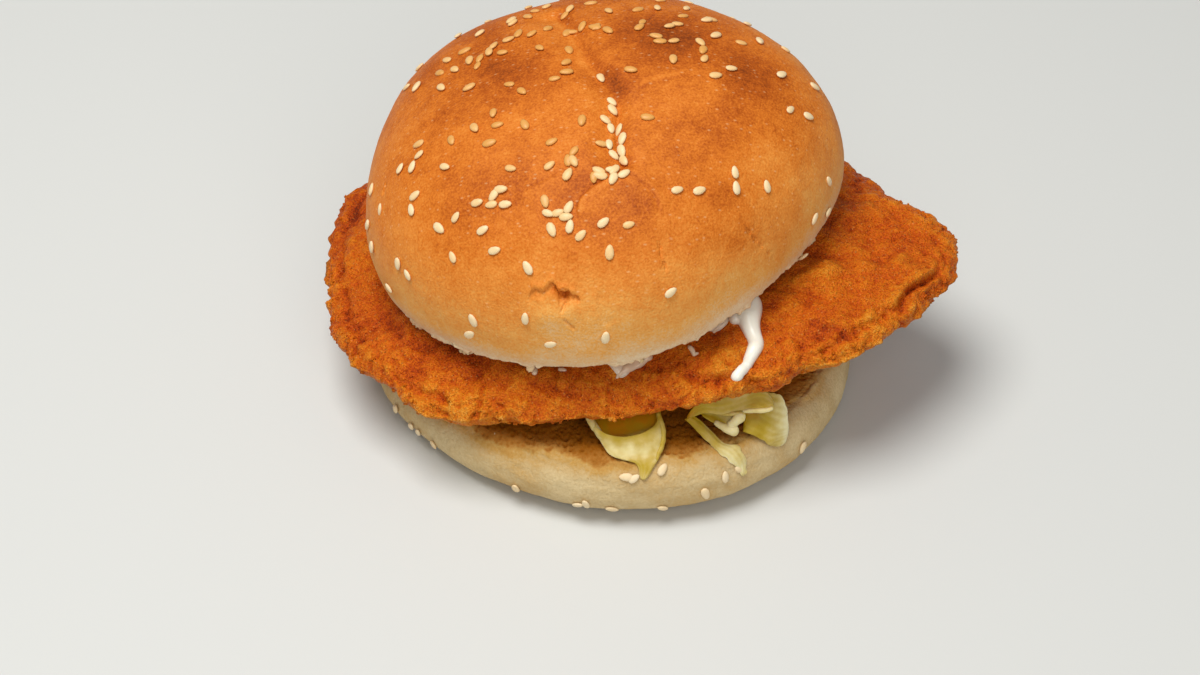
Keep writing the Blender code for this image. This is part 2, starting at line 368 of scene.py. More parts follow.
def grown(name, base, tree, settings):
    """Runs a tree on a mesh and keeps what it makes as a plain mesh."""
    carrier = add_object(name + "_carrier", base)
    modifier = carrier.modifiers.new(name, "NODES")
    modifier.node_group = tree
    sockets = {item.name: item.identifier for item in tree.interface.items_tree if item.in_out == "INPUT"}
    for label, value in settings.items():
        modifier[sockets[label]] = value
    depsgraph = bpy.context.evaluated_depsgraph_get()
    mesh = bpy.data.meshes.new_from_object(carrier.evaluated_get(depsgraph), depsgraph=depsgraph)
    bpy.data.objects.remove(carrier, do_unlink=True)
    mesh.name = name
    mesh.shade_smooth()
    piece = add_object(name, mesh)
    report_size(piece)
    return piece


# %% [markdown]
# ## The bottom bun
# A thick round slice with a toasted cut face, a rounded pale wall and the flat base that lay on the tray.
# Its profile runs from the middle of the cut face, over the cut edge and down the wall to the base.

# %% Profile of the bottom bun
HEEL_GIRTH = 8.0  # height of its widest level
HEEL_CUT_INSET = 5.0  # how far the cut edge lies inside the girth
HEEL_CUT_ROUND = 1.6  # width of the rounding between the cut face and the wall
HEEL_BASE_INSET = 12.0
HEEL_EDGE_TURN = math.radians(65)
HEEL_GRID = 238

heel_outline = outline_of(node_points("bottom_bun"))
heel_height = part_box("bottom_bun")[1][2] / MM
heel_mean = heel_outline[1].mean()


def heel_profile():
    """Inset from the girth and height, from the middle of the cut face down to the base."""
    face = np.linspace(heel_mean, HEEL_CUT_INSET + HEEL_CUT_ROUND, 200)
    wall = np.linspace(HEEL_EDGE_TURN, 0, 80)
    under = np.linspace(math.pi / 2, 0, 80)[1:]
    wall_inset = HEEL_CUT_INSET * (1 - np.cos(wall)) / (1 - math.cos(HEEL_EDGE_TURN))
    wall_height = HEEL_GIRTH + (heel_height - 0.5 - HEEL_GIRTH) * np.sin(wall) / math.sin(HEEL_EDGE_TURN)
    inset = np.concatenate([face, wall_inset, HEEL_BASE_INSET * (1 - np.sin(under))])
    height = np.concatenate([0 * face + heel_height - 0.3, wall_height, HEEL_GIRTH * (1 - np.cos(under))])
    return inset, height


reach, bearing, grid_faces, grid_rim = disc_grid(HEEL_GRID)
inset, height = along_profile(reach, *heel_profile())
heel_points = polar(radius_at(heel_outline, bearing) * (1 - inset / heel_mean), bearing, height)
print("bottom bun", round(2 * heel_mean, 1), "mm across and", round(heel_height, 1), "mm high")

# %% [markdown]
# The cut face is crumb: burst gas bubbles leave pits up to a millimetre wide. The wall is smooth skin with
# slow dents and a faint fold where it settled on the tray. The knife left a ragged lip between them.


# %% Pits and the border of the cut face
def pits(points, spacing, width, seed):
    """Round pits at scattered grains: -1 in the middle of a pit and 0 outside it."""
    return -np.clip(1 - grains(points, spacing, seed) / width, 0, 1)


WIDE_PITS, SMALL_PITS = (2, 0.4, 31), (1.25, 0.5, 32)  # spacing in mm, width as a share of it, seed


def heel_crumb(points):
    """1 on the cut face and 0 on the wall, and how far each point lies inside their uneven border."""
    x, y, z = points.T
    border = HEEL_CUT_INSET + 0.9 + 1.0 * bumps(points, 7, 42) + 0.8 * bumps(points, 2.4, 43)
    border -= 3.0 * ease(-x, -15, 30) * ease(-y, 0, 30)
    inside = radius_at(heel_outline, np.arctan2(y, x)) - np.hypot(x, y) - border
    return ease(inside, -0.5, 0.9) * ease(z, 13.2, 14.6), inside


# %% Relief of the bottom bun
def heel_relief(points, crumb):
    """Height in mm: pitted crumb on the cut face, and dented skin with a fold on the wall."""
    x, y, z = points.T
    pores = 0.7 * pits(points, *WIDE_PITS) + 0.45 * pits(points, *SMALL_PITS)
    face = 0.55 * bumps(points, 13, 33) + 0.3 * bumps(points, 4.5, 34) + pores * (1 + bumps(points, 6, 35))
    wall = 0.55 * bumps(points, 22, 36) + 0.22 * bumps(points * (1, 1, 2.2), 8, 37)
    wall += 0.08 * bumps(points, 2, 38) + 0.16 * bumps(points * (0.5, 0.5, 2), 3.6, 50) * ease(z, 3, 8)
    level = points * (1, 1, 0)
    fold = bell(z - 3.4 - 1.2 * bumps(level, 26, 39), 0.5) * ease(bumps(level, 17, 40), -0.1, 0.4)
    wall += 0.35 * pits(points, 6.5, 0.22, 41) * ease(-x, 5, 30) - 0.35 * fold
    return crumb * face + (1 - crumb) * wall


# %% [markdown]
# One number says how toasted each point is: near 0 on the floury wall, golden on the lip, near 1 on the
# face. It also carries painted light and shade: paler on the right where the bun lies in shade, darker deep
# under the fillet and in the pits. Most of the materials work so: a painted number, shifted by noises, looked
# up in a ramp of colours.


# %% Colour from a painted number
def pattern(size):
    """Scale of a texture whose grains are this many mm wide."""
    return 1 / (size * MM)


def toned(tree, painted, stops, *noises):
    """The ramp's colour at a painted number, after each noise has shifted that number.

    A noise is given as its value, the shift where it is 0 and the shift where it is 1. Two more numbers
    give the values that those shifts belong to, where they aren't 0 and 1.
    """
    tone = add_node(tree, "ShaderNodeAttribute", attribute_name=painted).outputs["Fac"]
    for value, first, last, *span in noises:
        start, end = span or (0, 1)
        shift = add_node(tree, "ShaderNodeMapRange", {"Value": value, "From Min": start, "From Max": end,
                                                      "To Min": first, "To Max": last})
        tone = add_node(tree, "ShaderNodeMath", {0: tone, 1: shift}, operation="ADD")
    return add_node(tree, "ShaderNodeValToRGB", {"Fac": tone}, stops)


def raised(tree, *layers):
    """Fine relief from several heights at once, each with its strength and its depth in mm."""
    relief = None
    for height, strength, depth in layers:
        below = {"Normal": relief} if relief else {}
        relief = add_node(tree, "ShaderNodeBump",
                          {"Height": height, "Strength": strength, "Distance": depth * MM, **below})
    return relief


def speckled(tree, place, size, start, end, bare, strength=1.0):
    """Round dots in scattered cells; start and end bound a dot's edge, and a share of cells is bare."""
    cells = add_node(tree, "ShaderNodeTexVoronoi", {"Vector": place, "Scale": pattern(size)})
    luck = add_node(tree, "ShaderNodeSeparateColor", {"Color": cells.outputs["Color"]})
    there = add_node(tree, "ShaderNodeMath", {0: luck, 1: bare}, operation="GREATER_THAN")
    dots = add_node(tree, "ShaderNodeMapRange", {"Value": cells, "From Min": start, "From Max": end,
                                                 "To Min": strength, "To Max": 0})
    return add_node(tree, "ShaderNodeMath", {0: dots, 1: there}, operation="MULTIPLY")


# %% [markdown]
# Floured bread crust: pale baked skin under a dusting of flour, which makes it matt. The toasted crumb
# shares the material.

# %% Material of the bottom bun
HEEL_STOPS = ((0, "#dcc596"), (0.14, "#ccb180"), (0.36, "#be924c"), (0.55, "#a96f2a"), (0.78, "#945504"),
              (1, "#6c3a04"))
heel_skin, tree, shader = new_material("floured_bread_crust", Roughness=0.72, IOR=1.4, Specular_IOR_Level=0.2)
place = add_node(tree, "ShaderNodeTexCoord").outputs["Object"]
flour = add_node(tree, "ShaderNodeTexNoise",
                 {"Vector": place, "Scale": pattern(5), "Detail": 6, "Roughness": 0.7})
grain = add_node(tree, "ShaderNodeTexNoise", {"Vector": place, "Scale": pattern(0.7), "Detail": 3})
toast_and_light_colour = toned(tree, "toast_and_painted_light", HEEL_STOPS, (flour, -0.13, 0.13), (grain, -0.12, 0.12))
relief = raised(tree, (grain, 0.45, 0.5), (flour, 0.5, 1.4))
set_inputs(tree, shader, {"Base Color": toast_and_light_colour, "Normal": relief})


# %% Shape the bottom bun
BASE_INSETS = (1.5, 6, 14, 26, 40)  # mm of the rings across the flat base, from its edge
LIP_WIDTH = 1.1  # mm either side of the border

base_radius = radius_at(heel_outline, bearing[grid_rim]) - HEEL_BASE_INSET
base_rings = [polar(base_radius - step, bearing[grid_rim], 0) for step in BASE_INSETS]
bottom_bun = closed_below("bottom_bun_crust", heel_points, grid_faces, grid_rim, base_rings, (0, 0, 0),
                          heel_skin)


def heel_shows(middles):
    """The bare front of the cut face, which gets finer faces."""
    x, y, z = middles.T
    return (z > 15) & (np.hypot(x, y) > 40) & (y < 10)


refine(bottom_bun, heel_shows)
points = mesh_points(bottom_bun)
crumb, inside = heel_crumb(points)
push_out(bottom_bun, heel_relief(points, crumb) * ease(points[:, 2], 0.3, 3))
moved = mesh_points(bottom_bun)
lip = bell(inside + 0.1, LIP_WIDTH) * ease(points[:, 2], 15.5, 17)
moved[:, 2] += lip * (0.45 * bumps(points, 3.2, 44) + 0.3 * bumps(points, 1.3, 45))
moved[:, 2] = np.maximum(moved[:, 2], 0)
move_points(bottom_bun, moved)
report_size(bottom_bun)


# %% Toast the bottom bun
def heel_toast_and_painted_light(points, crumb, inside):
    """How toasted each point is, with painted light and shade.

    The lip is paler than the middle. The right of the wall and the right front of the face are painted paler
    where they lie in shade, painted light. The face darkens deeper in, partly toast and partly painted shade
    under the fillet, and the pits are painted darker, painted shade.
    """
    x, y, z = points.T
    # The lower right of the wall is painted paler: painted light where it lies in shade.
    wall = 0.16 + 0.06 * ease(z, 10, 17.5) - 0.06 * ease(x, 10, 45) * ease(z, 2, 12)
    wall += 0.10 * bumps(points, 11, 46) + 0.05 * bumps(points, 4, 48)
    wall += 0.14 * bell(inside + 0.8, 1.3) * ease(z, 12, 15)
    # Darker deeper in from the lip: partly toast, partly painted shade under the fillet.
    face = 0.46 + 0.34 * ease(inside, -0.5, 6) + 0.08 * bumps(points, 9, 47) + 0.05 * bumps(points, 3.5, 49)
    # The right front of the face is painted paler: painted light where it lies in shade.
    face -= 0.10 * ease(x, 0, 30) * (1 - ease(inside, 4, 12)) * ease(-y, 0, 30)
    # The pits are painted darker: painted shade in them.
    face -= 0.15 * pits(points, *WIDE_PITS) + 0.13 * pits(points, *SMALL_PITS)
    return crumb * face + (1 - crumb) * wall


toast_and_painted_light = heel_toast_and_painted_light(points, crumb, inside)
paint(bottom_bun, "toast_and_painted_light", toast_and_painted_light)
print("toast from", round(toast_and_painted_light.min(), 2), "on the wall to", round(toast_and_painted_light.max(), 2), "in the pits")
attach(bottom_bun, "root")
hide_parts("bottom_bun")

# %% [markdown]
# ## The chicken fillet
# A butterflied fillet, dredged in seasoned flour and deep-fried. Its coating has a sandy grain, swells
# slowly where the meat is thick, and gathers into knobs and cracks at the rim. Rays read its heights from
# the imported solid, and the coating is relief on a fine grid that wraps over the rim.

# %% Shape of the fillet
FILLET_MIDDLE = (5, 0)
FILLET_GRID = 230
RIM_ROUND = 4.2  # mm in from the outline
RIM_TRAVEL = 2 * RIM_ROUND + 4  # mm of surface round the rim
UNDER_WRAP = 9.0  # mm of grid under the rim
FULL_HEIGHT = 0.975  # share of the outline out to which heights are read
ABOVE_ALL = 300  # mm, clear of the whole burger

fillet_points = node_points("chicken_fillet")
fillet_outline = outline_of(fillet_points, FILLET_MIDDLE)
fillet_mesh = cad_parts["chicken_fillet"].data
fillet_tree = BVHTree.FromPolygons([tuple(vertex.co / MM) for vertex in fillet_mesh.vertices],
                                   [tuple(face.vertices) for face in fillet_mesh.polygons])


def height_of(tree, x, y, way):
    """Height of the first face that a vertical ray meets; way is -1 from above and 1 from below."""
    place, _, _, _ = tree.ray_cast(Vector((x, y, -ABOVE_ALL * way)), Vector((0, 0, way)))
    return place.z if place else math.nan


def smoothed(values, faces, passes):
    """Evens out a value over the grid, each point with those it shares a face with."""
    for _ in range(passes):
        total = np.zeros(len(values))
        count = np.zeros(len(values))
        np.add.at(total, faces, values[faces].mean(axis=1)[:, None])
        np.add.at(count, faces, 1)
        values = total / count
    return values


def fillet_shape(reach, bearing):
    """Distance from the middle, the turn over the rim (1 on top, -1 underneath), and the outline's radius."""
    radius = radius_at(fillet_outline, bearing)
    travel = reach * (radius + RIM_TRAVEL + UNDER_WRAP - RIM_ROUND)
    top = travel <= radius - RIM_ROUND
    over = np.clip((travel - radius + RIM_ROUND) / RIM_TRAVEL, 0, 1)
    below = np.maximum(travel - radius + RIM_ROUND - RIM_TRAVEL, 0)
    swing = math.pi / 2 - over * math.pi
    distance = np.where(top, travel, radius - RIM_ROUND + RIM_ROUND * np.cos(swing) - below)
    return distance, np.where(top, 1, np.sin(swing)), radius


reach, bearing, grid_faces, grid_rim = disc_grid(FILLET_GRID)
distance, swing, radius = fillet_shape(reach, bearing)
level_x, level_y = (FILLET_MIDDLE[i] + np.minimum(distance, FULL_HEIGHT * radius) * part
                    for i, part in enumerate((np.cos(bearing), np.sin(bearing))))
above, beneath = (smoothed(np.array([height_of(fillet_tree, x, y, way) for x, y in zip(level_x, level_y)]),
                           grid_faces, 6) for way in (-1, 1))
fillet_body = polar(distance, bearing, (above + beneath) / 2 + swing * (above - beneath) / 2)
fillet_body[:, :2] += FILLET_MIDDLE
print("fillet reaches", round(radius.min(), 1), "to", round(radius.max(), 1), "mm from its middle")

# %% [markdown]
# ### The coating
# At the rim the wet flour built up in layers. Some edges curled over and left deep folds, and cracks run
# between the knobs. The large folds are listed, and noise gives the small ones.


# %% Folds and cracks
# Each fold: its places, its depth and its half width in mm; a negative depth is a ridge.
FOLDS = (
    (((333, 1.6), (336, 3.2), (338.4, 4.4), (341, 4.8), (345, 3.8), (350, 2.4)), 1.5, 0.8),
    (((333, 1.6), (332.4, 4.2), (333.6, 6.4)), 1.2, 0.6),
    (((334, 4.4), (337, 5.8), (340, 6.6), (344, 6), (349, 4.6)), -1.1, 0.9),
    (((316, 1.2), (320, 2.6), (325, 3.8), (329, 3.6), (333, 2)), 1.3, 0.8),
    (((328.6, 6.6), (331.5, 7.2)), 0.9, 0.9),
    (((282, 5.4), (287, 3.6), (291, 2.4), (295, 2.4), (300.5, 4.2), (305, 6.5)), 1.1, 0.8),
    (((294, 2.6), (293.5, -1)), 0.9, 0.6),
    (((226.3, 1.4), (228.5, 3), (230.4, 4.8), (228.8, 9.4), (225, 12.8)), 1, 0.5),
    (((230.8, 4.6), (231.2, 2.3), (231.3, -1)), 1.1, 0.5),
    (((156, 5.4), (166, 4.2), (176, 4.6), (186, 5.4), (194, 4.4), (203, 3.8)), 0.8, 1.1),
    (((208, 2.8), (212, 1.8), (217, 2.2), (222, 3.2), (226, 2)), 1, 0.7),
    (((176.5, 4.4), (178, 5)), 1.1, 1),
    (((190, 12), (198, 13), (206, 12), (213, 13.5)), 0.9, 2.6),
    (((324, 11), (319, 8.2), (314, 5)), 0.9, 3),
    (((330, 20), (336, 24), (343, 27)), -1.2, 6.5),
    (((262, 5), (262.4, 2), (262.8, -1)), 0.6, 0.5),
    (((246, 6), (249, 3.5), (254, 3)), 0.7, 0.8),
    (((20, 5), (32, 4.2), (44, 5.5)), 0.9, 0.8),
    (((100, 4.5), (112, 3.4), (120, 5)), 0.9, 0.8),
    (((150, 6), (158, 4.5), (163, 6.5)), 1.1, 0.9),
)


def on_fillet(bearing, inset):
    """The place seen from above at a bearing in degrees and a distance in from the outline."""
    turned = math.radians(bearing)
    reach = radius_at(fillet_outline, turned) - inset
    x, y = FILLET_MIDDLE
    return np.array([x + reach * math.cos(turned), y + reach * math.sin(turned), 0])


def line_distance(points, corners, normals):
    """Distance of each point from a line, its share of the way along, and how far to its left it lies."""
    nearest = np.full(len(points), np.inf)
    along, side = np.zeros((2, len(points)))
    for i, (start, end, normal) in enumerate(zip(corners, corners[1:], normals)):
        run = end - start
        part = np.clip((points - start) @ run / (run @ run), 0, 1)
        gap = points - start - part[:, None] * run
        distance = np.linalg.norm(gap, axis=1)
        closer = distance < nearest
        nearest = np.where(closer, distance, nearest)
        along = np.where(closer, (i + part) / (len(corners) - 1), along)
        across = np.cross(normal, run)
        side = np.where(closer, gap @ (across / np.linalg.norm(across)), side)
    return nearest, along, side


# %% Depth of the folds
FOLD_WANDER = 0.5  # mm that a fold strays from its line
WIDE_FOLD = 2  # mm of half width from which it doesn't


def fold_relief(points):
    total = np.zeros(len(points))
    wander = FOLD_WANDER * bumps(points, 2.2, 51)
    for places, depth, half_width in FOLDS:
        line = [on_fillet(*place) for place in places]
        distance, along, _ = line_distance(points * (1, 1, 0), line, [(0, 0, 1)] * len(line))
        over_the_rim = places[-1][1] < 0
        ends = ease(along, 0, 0.15) * (1 if over_the_rim else ease(1 - along, 0, 0.15))
        total -= depth * ends * bell(distance + wander * (half_width < WIDE_FOLD), half_width)
    return total


# %% Relief of the coating
def dome(points, size, seed):
    """Rounded lumps side by side: 1 on top of each and 0 or less in the cracks between them."""
    return 1 - (grains(points, size, seed) / 0.85) ** 2


def coating(points, edge, upper):
    """Height of the coating in mm, and its tone: near 1 on a crest and 0 in a crack, painted highlight and
    shade, and raised at the front, painted light.
    """
    swell = 0.85 * bumps(points, 24, 52) + 0.8 * bumps(points, 11, 53)
    lumps = bumps(points, 5.5, 66)
    knobs = dome(points, 4, 54)
    small = dome(points, 2.1, 55)
    crumbly = 0.5 + 0.5 * ease(bumps(points, 12, 64), -0.5, 0.5)
    rugged = bumps(points, 1.7, 65)
    crack = bell(bumps(points, 9, 57), 0.05) * edge * ease(bumps(points, 17, 60), -0.2, 0.3)
    folds = fold_relief(points) * upper
    height = (swell + 1.1 * lumps) * (1 - 0.65 * edge) + (0.3 + 0.25 * edge) * knobs
    height += (0.62 * crumbly + 0.1 * edge) * small + 0.46 * rugged - 0.6 * crack
    # Knobs, lumps and grains are painted lighter on top: painted highlight on the relief.
    tone = 0.41 + (0.07 + 0.12 * edge) * (knobs - 0.4) + (0.11 + 0.04 * edge) * (small - 0.4) + 0.08 * rugged
    # Cracks are painted darker: painted shade in them.
    tone += 0.05 * bumps(points, 15, 58) + 0.08 * lumps + 0.06 * bumps(points, 3.2, 59) - 0.18 * crack
    # Folds are painted darker and ridges lighter, painted shade and highlight; the fillet's front is painted
    # lighter, painted light.
    tone += 0.16 * np.clip(folds, -2, 0.6) + 0.07 * ease(-points[:, 1], 28, 46)
    return height + folds, tone


# %% [markdown]
# Fried flour coating: flour that drank oil and set hard, matt, with glossy beads of batter, whose paler
# colour is a painted glint. The colour follows the relief: crests are painted lighter and hollows red-brown,
# painted highlight and shade. The real grain is a quarter of a millimetre wide, and it is drawn at half a
# millimetre so that it shows.

# %% Material of the coating
FRIED_STOPS = ((0, "#4a1400"), (0.2, "#8a2d00"), (0.36, "#b94700"), (0.50, "#cd5d04"), (0.66, "#d9720c"),
               (0.82, "#e48b1e"), (1, "#eea848"))
BEAD_GLINT_COLOUR = "#f49c4c"
BARE_SHARE = 0.52  # share of the places without a bead

fried, tree, shader = new_material("fried_flour_coating", IOR=1.46, Specular_IOR_Level=0.2)
place = add_node(tree, "ShaderNodeTexCoord").outputs["Object"]
sand = add_node(tree, "ShaderNodeTexNoise",
                {"Vector": place, "Scale": pattern(0.5), "Detail": 2, "Roughness": 0.6})
dust = add_node(tree, "ShaderNodeTexNoise",
                {"Vector": place, "Scale": pattern(2.2), "Detail": 5, "Roughness": 0.7})
browned = toned(tree, "crest", FRIED_STOPS, (sand, -0.15, 0.19, 0.3, 0.7), (dust, -0.06, 0.06, 0.3, 0.7))
# Glossy raised beads of batter, painted paler as a glint.
bead_glint = speckled(tree, place, 1.1, 0.1, 0.26, BARE_SHARE)
paler = add_node(tree, "ShaderNodeMath", {0: bead_glint, 1: 0.6}, operation="MULTIPLY")
bead_glinted = add_node(tree, "ShaderNodeMix", {0: paler, 6: browned, 7: colour(BEAD_GLINT_COLOUR)}, data_type="RGBA")
oily = add_node(tree, "ShaderNodeMapRange", {"Value": bead_glint, "To Min": 0.45, "To Max": 0.2})
relief = raised(tree, (sand, 1, 0.9), (bead_glint, 0.8, 0.3), (dust, 0.7, 1.1))
set_inputs(tree, shader, {"Base Color": bead_glinted.outputs[2], "Roughness": oily, "Normal": relief})

# %% [markdown]
# From the grid's end under the rim, rings of points run to the middle of the underside, at the heights
# that rays find there.


# %% Close the fillet underneath
UNDER_RINGS = np.cumsum([1.2] * 6 + [2.0] * 6 + [4.0] * 4)  # insets in mm, past the grid's rim
UNDER_EVENING = 9  # points over which a ring's height is evened


def fillet_reach(points):
    """Distance in from the outline, and the bearing."""
    out = points[:, :2] - FILLET_MIDDLE
    bearing = np.arctan2(out[:, 1], out[:, 0])
    return radius_at(fillet_outline, bearing) - np.hypot(out[:, 0], out[:, 1]), bearing


rim_points = fillet_body[grid_rim]
rim_out = rim_points[:, :2] - FILLET_MIDDLE
even = np.ones(UNDER_EVENING) / UNDER_EVENING
under_rings = []
for step in UNDER_RINGS:
    ring = rim_points.copy()
    ring[:, :2] = FILLET_MIDDLE + rim_out * (1 - step / np.linalg.norm(rim_out, axis=1))[:, None]
    lows = [height_of(fillet_tree, x, y, 1) for x, y in ring[:, :2]]
    ring[:, 2] = np.convolve(np.tile(lows, 3), even, "same")[len(lows):2 * len(lows)]
    under_rings.append(ring)
under_middle = (*FILLET_MIDDLE, height_of(fillet_tree, *FILLET_MIDDLE, 1))
fillet = closed_below("chicken_fillet_coating", fillet_body, grid_faces, grid_rim, under_rings,
                      under_middle, fried)
upper = np.zeros(len(fillet.data.vertices))
upper[:len(swing)] = ease(swing, -0.3, 0.5)
paint(fillet, "upper", upper)
print("fillet closed with", len(under_rings), "rings underneath")


# %% Raise the coating
def rim_shows(middles):
    """The band along the rim that gets finer faces, all but its back."""
    inset, _ = fillet_reach(middles)
    return (inset < 6) & (inset > -3) & (middles[:, 1] < 5)


refine(fillet, rim_shows)
upper = read_paint(fillet, "upper")
points = mesh_points(fillet)
inset, _ = fillet_reach(points)
edge = 1 - ease(inset, 1, 13)
height, crest = coating(points, edge, upper)
push_out(fillet, height * (0.35 + 0.65 * ease(upper, 0, 0.6) + 0.3 * edge * (1 - upper)))
print("coating from", round(height.min(), 1), "to", round(height.max(), 1), "mm over the smooth body")

# %% [markdown]
# The rim is scalloped. Slow bays and knobs push it in and out, in places it broke off or grew on, and along
# its widest line a thin torn edge sticks out.

# %% Break up the rim
RIM_SWAY = 9.5  # mm between slow bays of the rim
RIM_KNOBS = ((5.2, 1, 62), (2.7, 0.45, 63))  # width of the rounded knobs along it, depth, seed
RIM_SHRINK = 0.8  # mm by which the rim is drawn in
RIM_REACH = 4.5  # mm over which its unevenness dies away
# Where the edge of the coating broke off or grew: bearing, half width in degrees, and depth in mm.
RIM_CHIPS = ((176, 11, 1.5), (343, 3.5, 2.6), (314, 3.5, 2.6), (301, 3.5, 2.6), (24, 12, -2.2), (7, 5, -1.2),
             (228, 6, 0.8), (196, 4, 1.2), (235, 4.5, 1.8), (249, 7, -2))
# Where the rim stands higher or hangs lower: bearing, half width in degrees, and mm.
RIM_SAGS = ((232.5, 3.5, 1), (246.5, 7, -0.9))
FLANGE_OUT = 0.9  # mm that the thin torn edge sticks out

away = points[:, :2] - FILLET_MIDDLE
outward = away / np.linalg.norm(away + 1e-9, axis=1)[:, None]
rim_bearing = np.degrees(np.arctan2(outward[:, 1], outward[:, 0]))


def near_bearing(bearings, place, half_width):
    """1 at a bearing and fading round the rim on both sides of it, all in degrees."""
    return bell((bearings - place + 180) % 360 - 180, half_width)


flat = points * (1, 1, 0.3)
scallop = bumps(flat, RIM_SWAY, 61) - RIM_SHRINK
scallop += sum(depth * (dome(flat, width, seed) - 0.6) for width, depth, seed in RIM_KNOBS)
scallop -= sum(chip * near_bearing(rim_bearing, place, half) for place, half, chip in RIM_CHIPS)
torn = ease(bumps(flat, 4.5, 67) + 0.25 * bumps(flat, 1.6, 68), -0.2, 0.7)
flange = FLANGE_OUT * torn * bell(upper - 0.4, 0.22) * (inset < 3)
moved = mesh_points(fillet)
moved[:, :2] += outward * (scallop * np.exp(-np.maximum(inset, 0) / RIM_REACH) + flange)[:, None]
for place, half, rise in RIM_SAGS:
    moved[:, 2] += rise * near_bearing(rim_bearing, place, half) * np.exp(-np.maximum(inset, 0) / 5)
move_points(fillet, moved)
report_size(fillet)

# %% [markdown]
# The coating is paler gold on its torn edge, and a few listed high spots are painted lighter, painted
# highlights.

# %% Brown the coating
# Each painted highlight: bearing, distance in from the edge and size in mm, and strength.
GOLDEN_HIGHLIGHTS = ((348, 3, 12, 0.09), (330, 1, 9, 0.13), (4, 2, 9, 0.09), (316, 1, 6, 0.07), (229, 1, 8, 0.2),
          (183, 3, 9, 0.10), (335, 23, 13, 0.03), (172, 2, 6, 0.10), (300, 6, 9, 0.06), (60, 5, 16, 0.08),
          (120, 5, 16, 0.08))

crest += 0.14 * flange + 0.1 * bell(upper - 0.45, 0.3) * (inset < 3)
for bearing_at, inset_at, size, strength in GOLDEN_HIGHLIGHTS:
    away = points * (1, 1, 0) - on_fillet(bearing_at, inset_at)
    crest += strength * bell(np.linalg.norm(away, axis=1), size)
paint(fillet, "crest", crest)
paint(fillet, "rim", edge)
print("coating's colour from", round(crest.min(), 2), "to", round(crest.max(), 2))
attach(fillet, "root")
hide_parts("chicken_fillet")

# %% [markdown]
# ## Where the top bun sits
# The top bun leans on the fillet, so it is shaped in a frame of its own, with its cut face level at height 0.
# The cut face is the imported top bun's one large flat face that looks down.


# %% The top bun's own frame
def flat_face(node, towards):
    """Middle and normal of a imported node's largest flat face that looks a given way."""
    faces = [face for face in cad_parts[node].data.polygons if face.normal.dot(towards) > 0.9]
    normal = max(faces, key=lambda face: face.area).normal
    level = [face for face in faces if face.normal.dot(normal) > 0.99999]  # the parts of that one face
    area = sum(face.area for face in level)
    middle = sum((face.center * face.area for face in level), Vector()) / area
    return middle, normal.copy()


cut_middle, cut_normal = flat_face("top_bun", Vector((0, 0, -1)))
crown_up = -cut_normal
crown_right = Vector((0, 1, 0)).cross(crown_up).normalized()
crown_axes = np.array([crown_right, crown_up.cross(crown_right), crown_up])
crown_place = np.array(cut_middle) / MM


def from_crown(points):
    """From the top bun's own frame to the burger's, in mm."""
    return np.asarray(points) @ crown_axes + crown_place


def to_crown(points):
    """From the burger's frame to the top bun's own, in mm."""
    return (np.asarray(points) - crown_place) @ crown_axes.T


print("top bun leans", round(math.degrees(crown_up.angle(Vector((0, 0, 1)))), 1), "degrees")

# %% [markdown]
# ## The dome of the top bun
# A proved bun stands nearly upright at the girth and is flatter on top: a superellipse.

# %% Outline and profile
CROWN_GIRTH = 10.0  # height of its widest level over the cut face
CROWN_CUT_INSET = 4.2  # how far the cut edge lies inside the girth
CROWN_SQUARENESS = 2.2  # 2 would make the side an ellipse
CROWN_GRID = 222

crown_solid = to_crown(node_points("top_bun"))
crown_outline = outline_of(crown_solid)
crown_height = crown_solid[:, 2].max()
crown_mean = crown_outline[1].mean()


def crown_profile():
    """Inset from the girth and height, from the top of the dome down to the cut edge."""
    power = 2 / CROWN_SQUARENESS
    over = np.linspace(math.pi / 2, 0, 300)
    below = np.linspace(math.pi / 2, 0, 60)[1:]
    over_inset = crown_mean * (1 - np.abs(np.cos(over)) ** power)
    over_height = CROWN_GIRTH + (crown_height - CROWN_GIRTH) * np.sin(over) ** power
    inset = np.concatenate([over_inset, CROWN_CUT_INSET * (1 - np.sin(below))])
    return inset, np.concatenate([over_height, CROWN_GIRTH * (1 - np.cos(below))])


reach, bearing, grid_faces, grid_rim = disc_grid(CROWN_GRID)
inset, height = along_profile(reach, *crown_profile())
dome_points = polar(radius_at(crown_outline, bearing) * (1 - inset / crown_mean), bearing, height)
print("top bun", round(2 * crown_mean, 1), "mm across and", round(crown_height, 1), "mm high")

# %% [markdown]
# ## Folds, wrinkles and the torn blister
# One long fold runs over the dome, and finer wrinkles branch from it. There are a few hairline cracks, and
# at the front a torn blister. Each line is a list of bearings and rises seen from the bun's middle.

# %% Lines on the crust
CRUST_MIDDLE = np.array([0, 0, CROWN_GIRTH])
dome_tree = BVHTree.FromPolygons([tuple(point) for point in dome_points], grid_faces.tolist())


def crust_way(bearing, rise):
    """The direction at a bearing and rise in degrees."""
    turned, lifted = math.radians(bearing), math.radians(rise)
    return (math.cos(lifted) * math.cos(turned), math.cos(lifted) * math.sin(turned), math.sin(lifted))


def on_crust(bearing, rise):
    """The place on the smooth crust at a bearing and rise, and its normal."""
    place, normal, _, _ = dome_tree.ray_cast(Vector(CRUST_MIDDLE), Vector(crust_way(bearing, rise)))
    return np.array(place), np.array(normal)


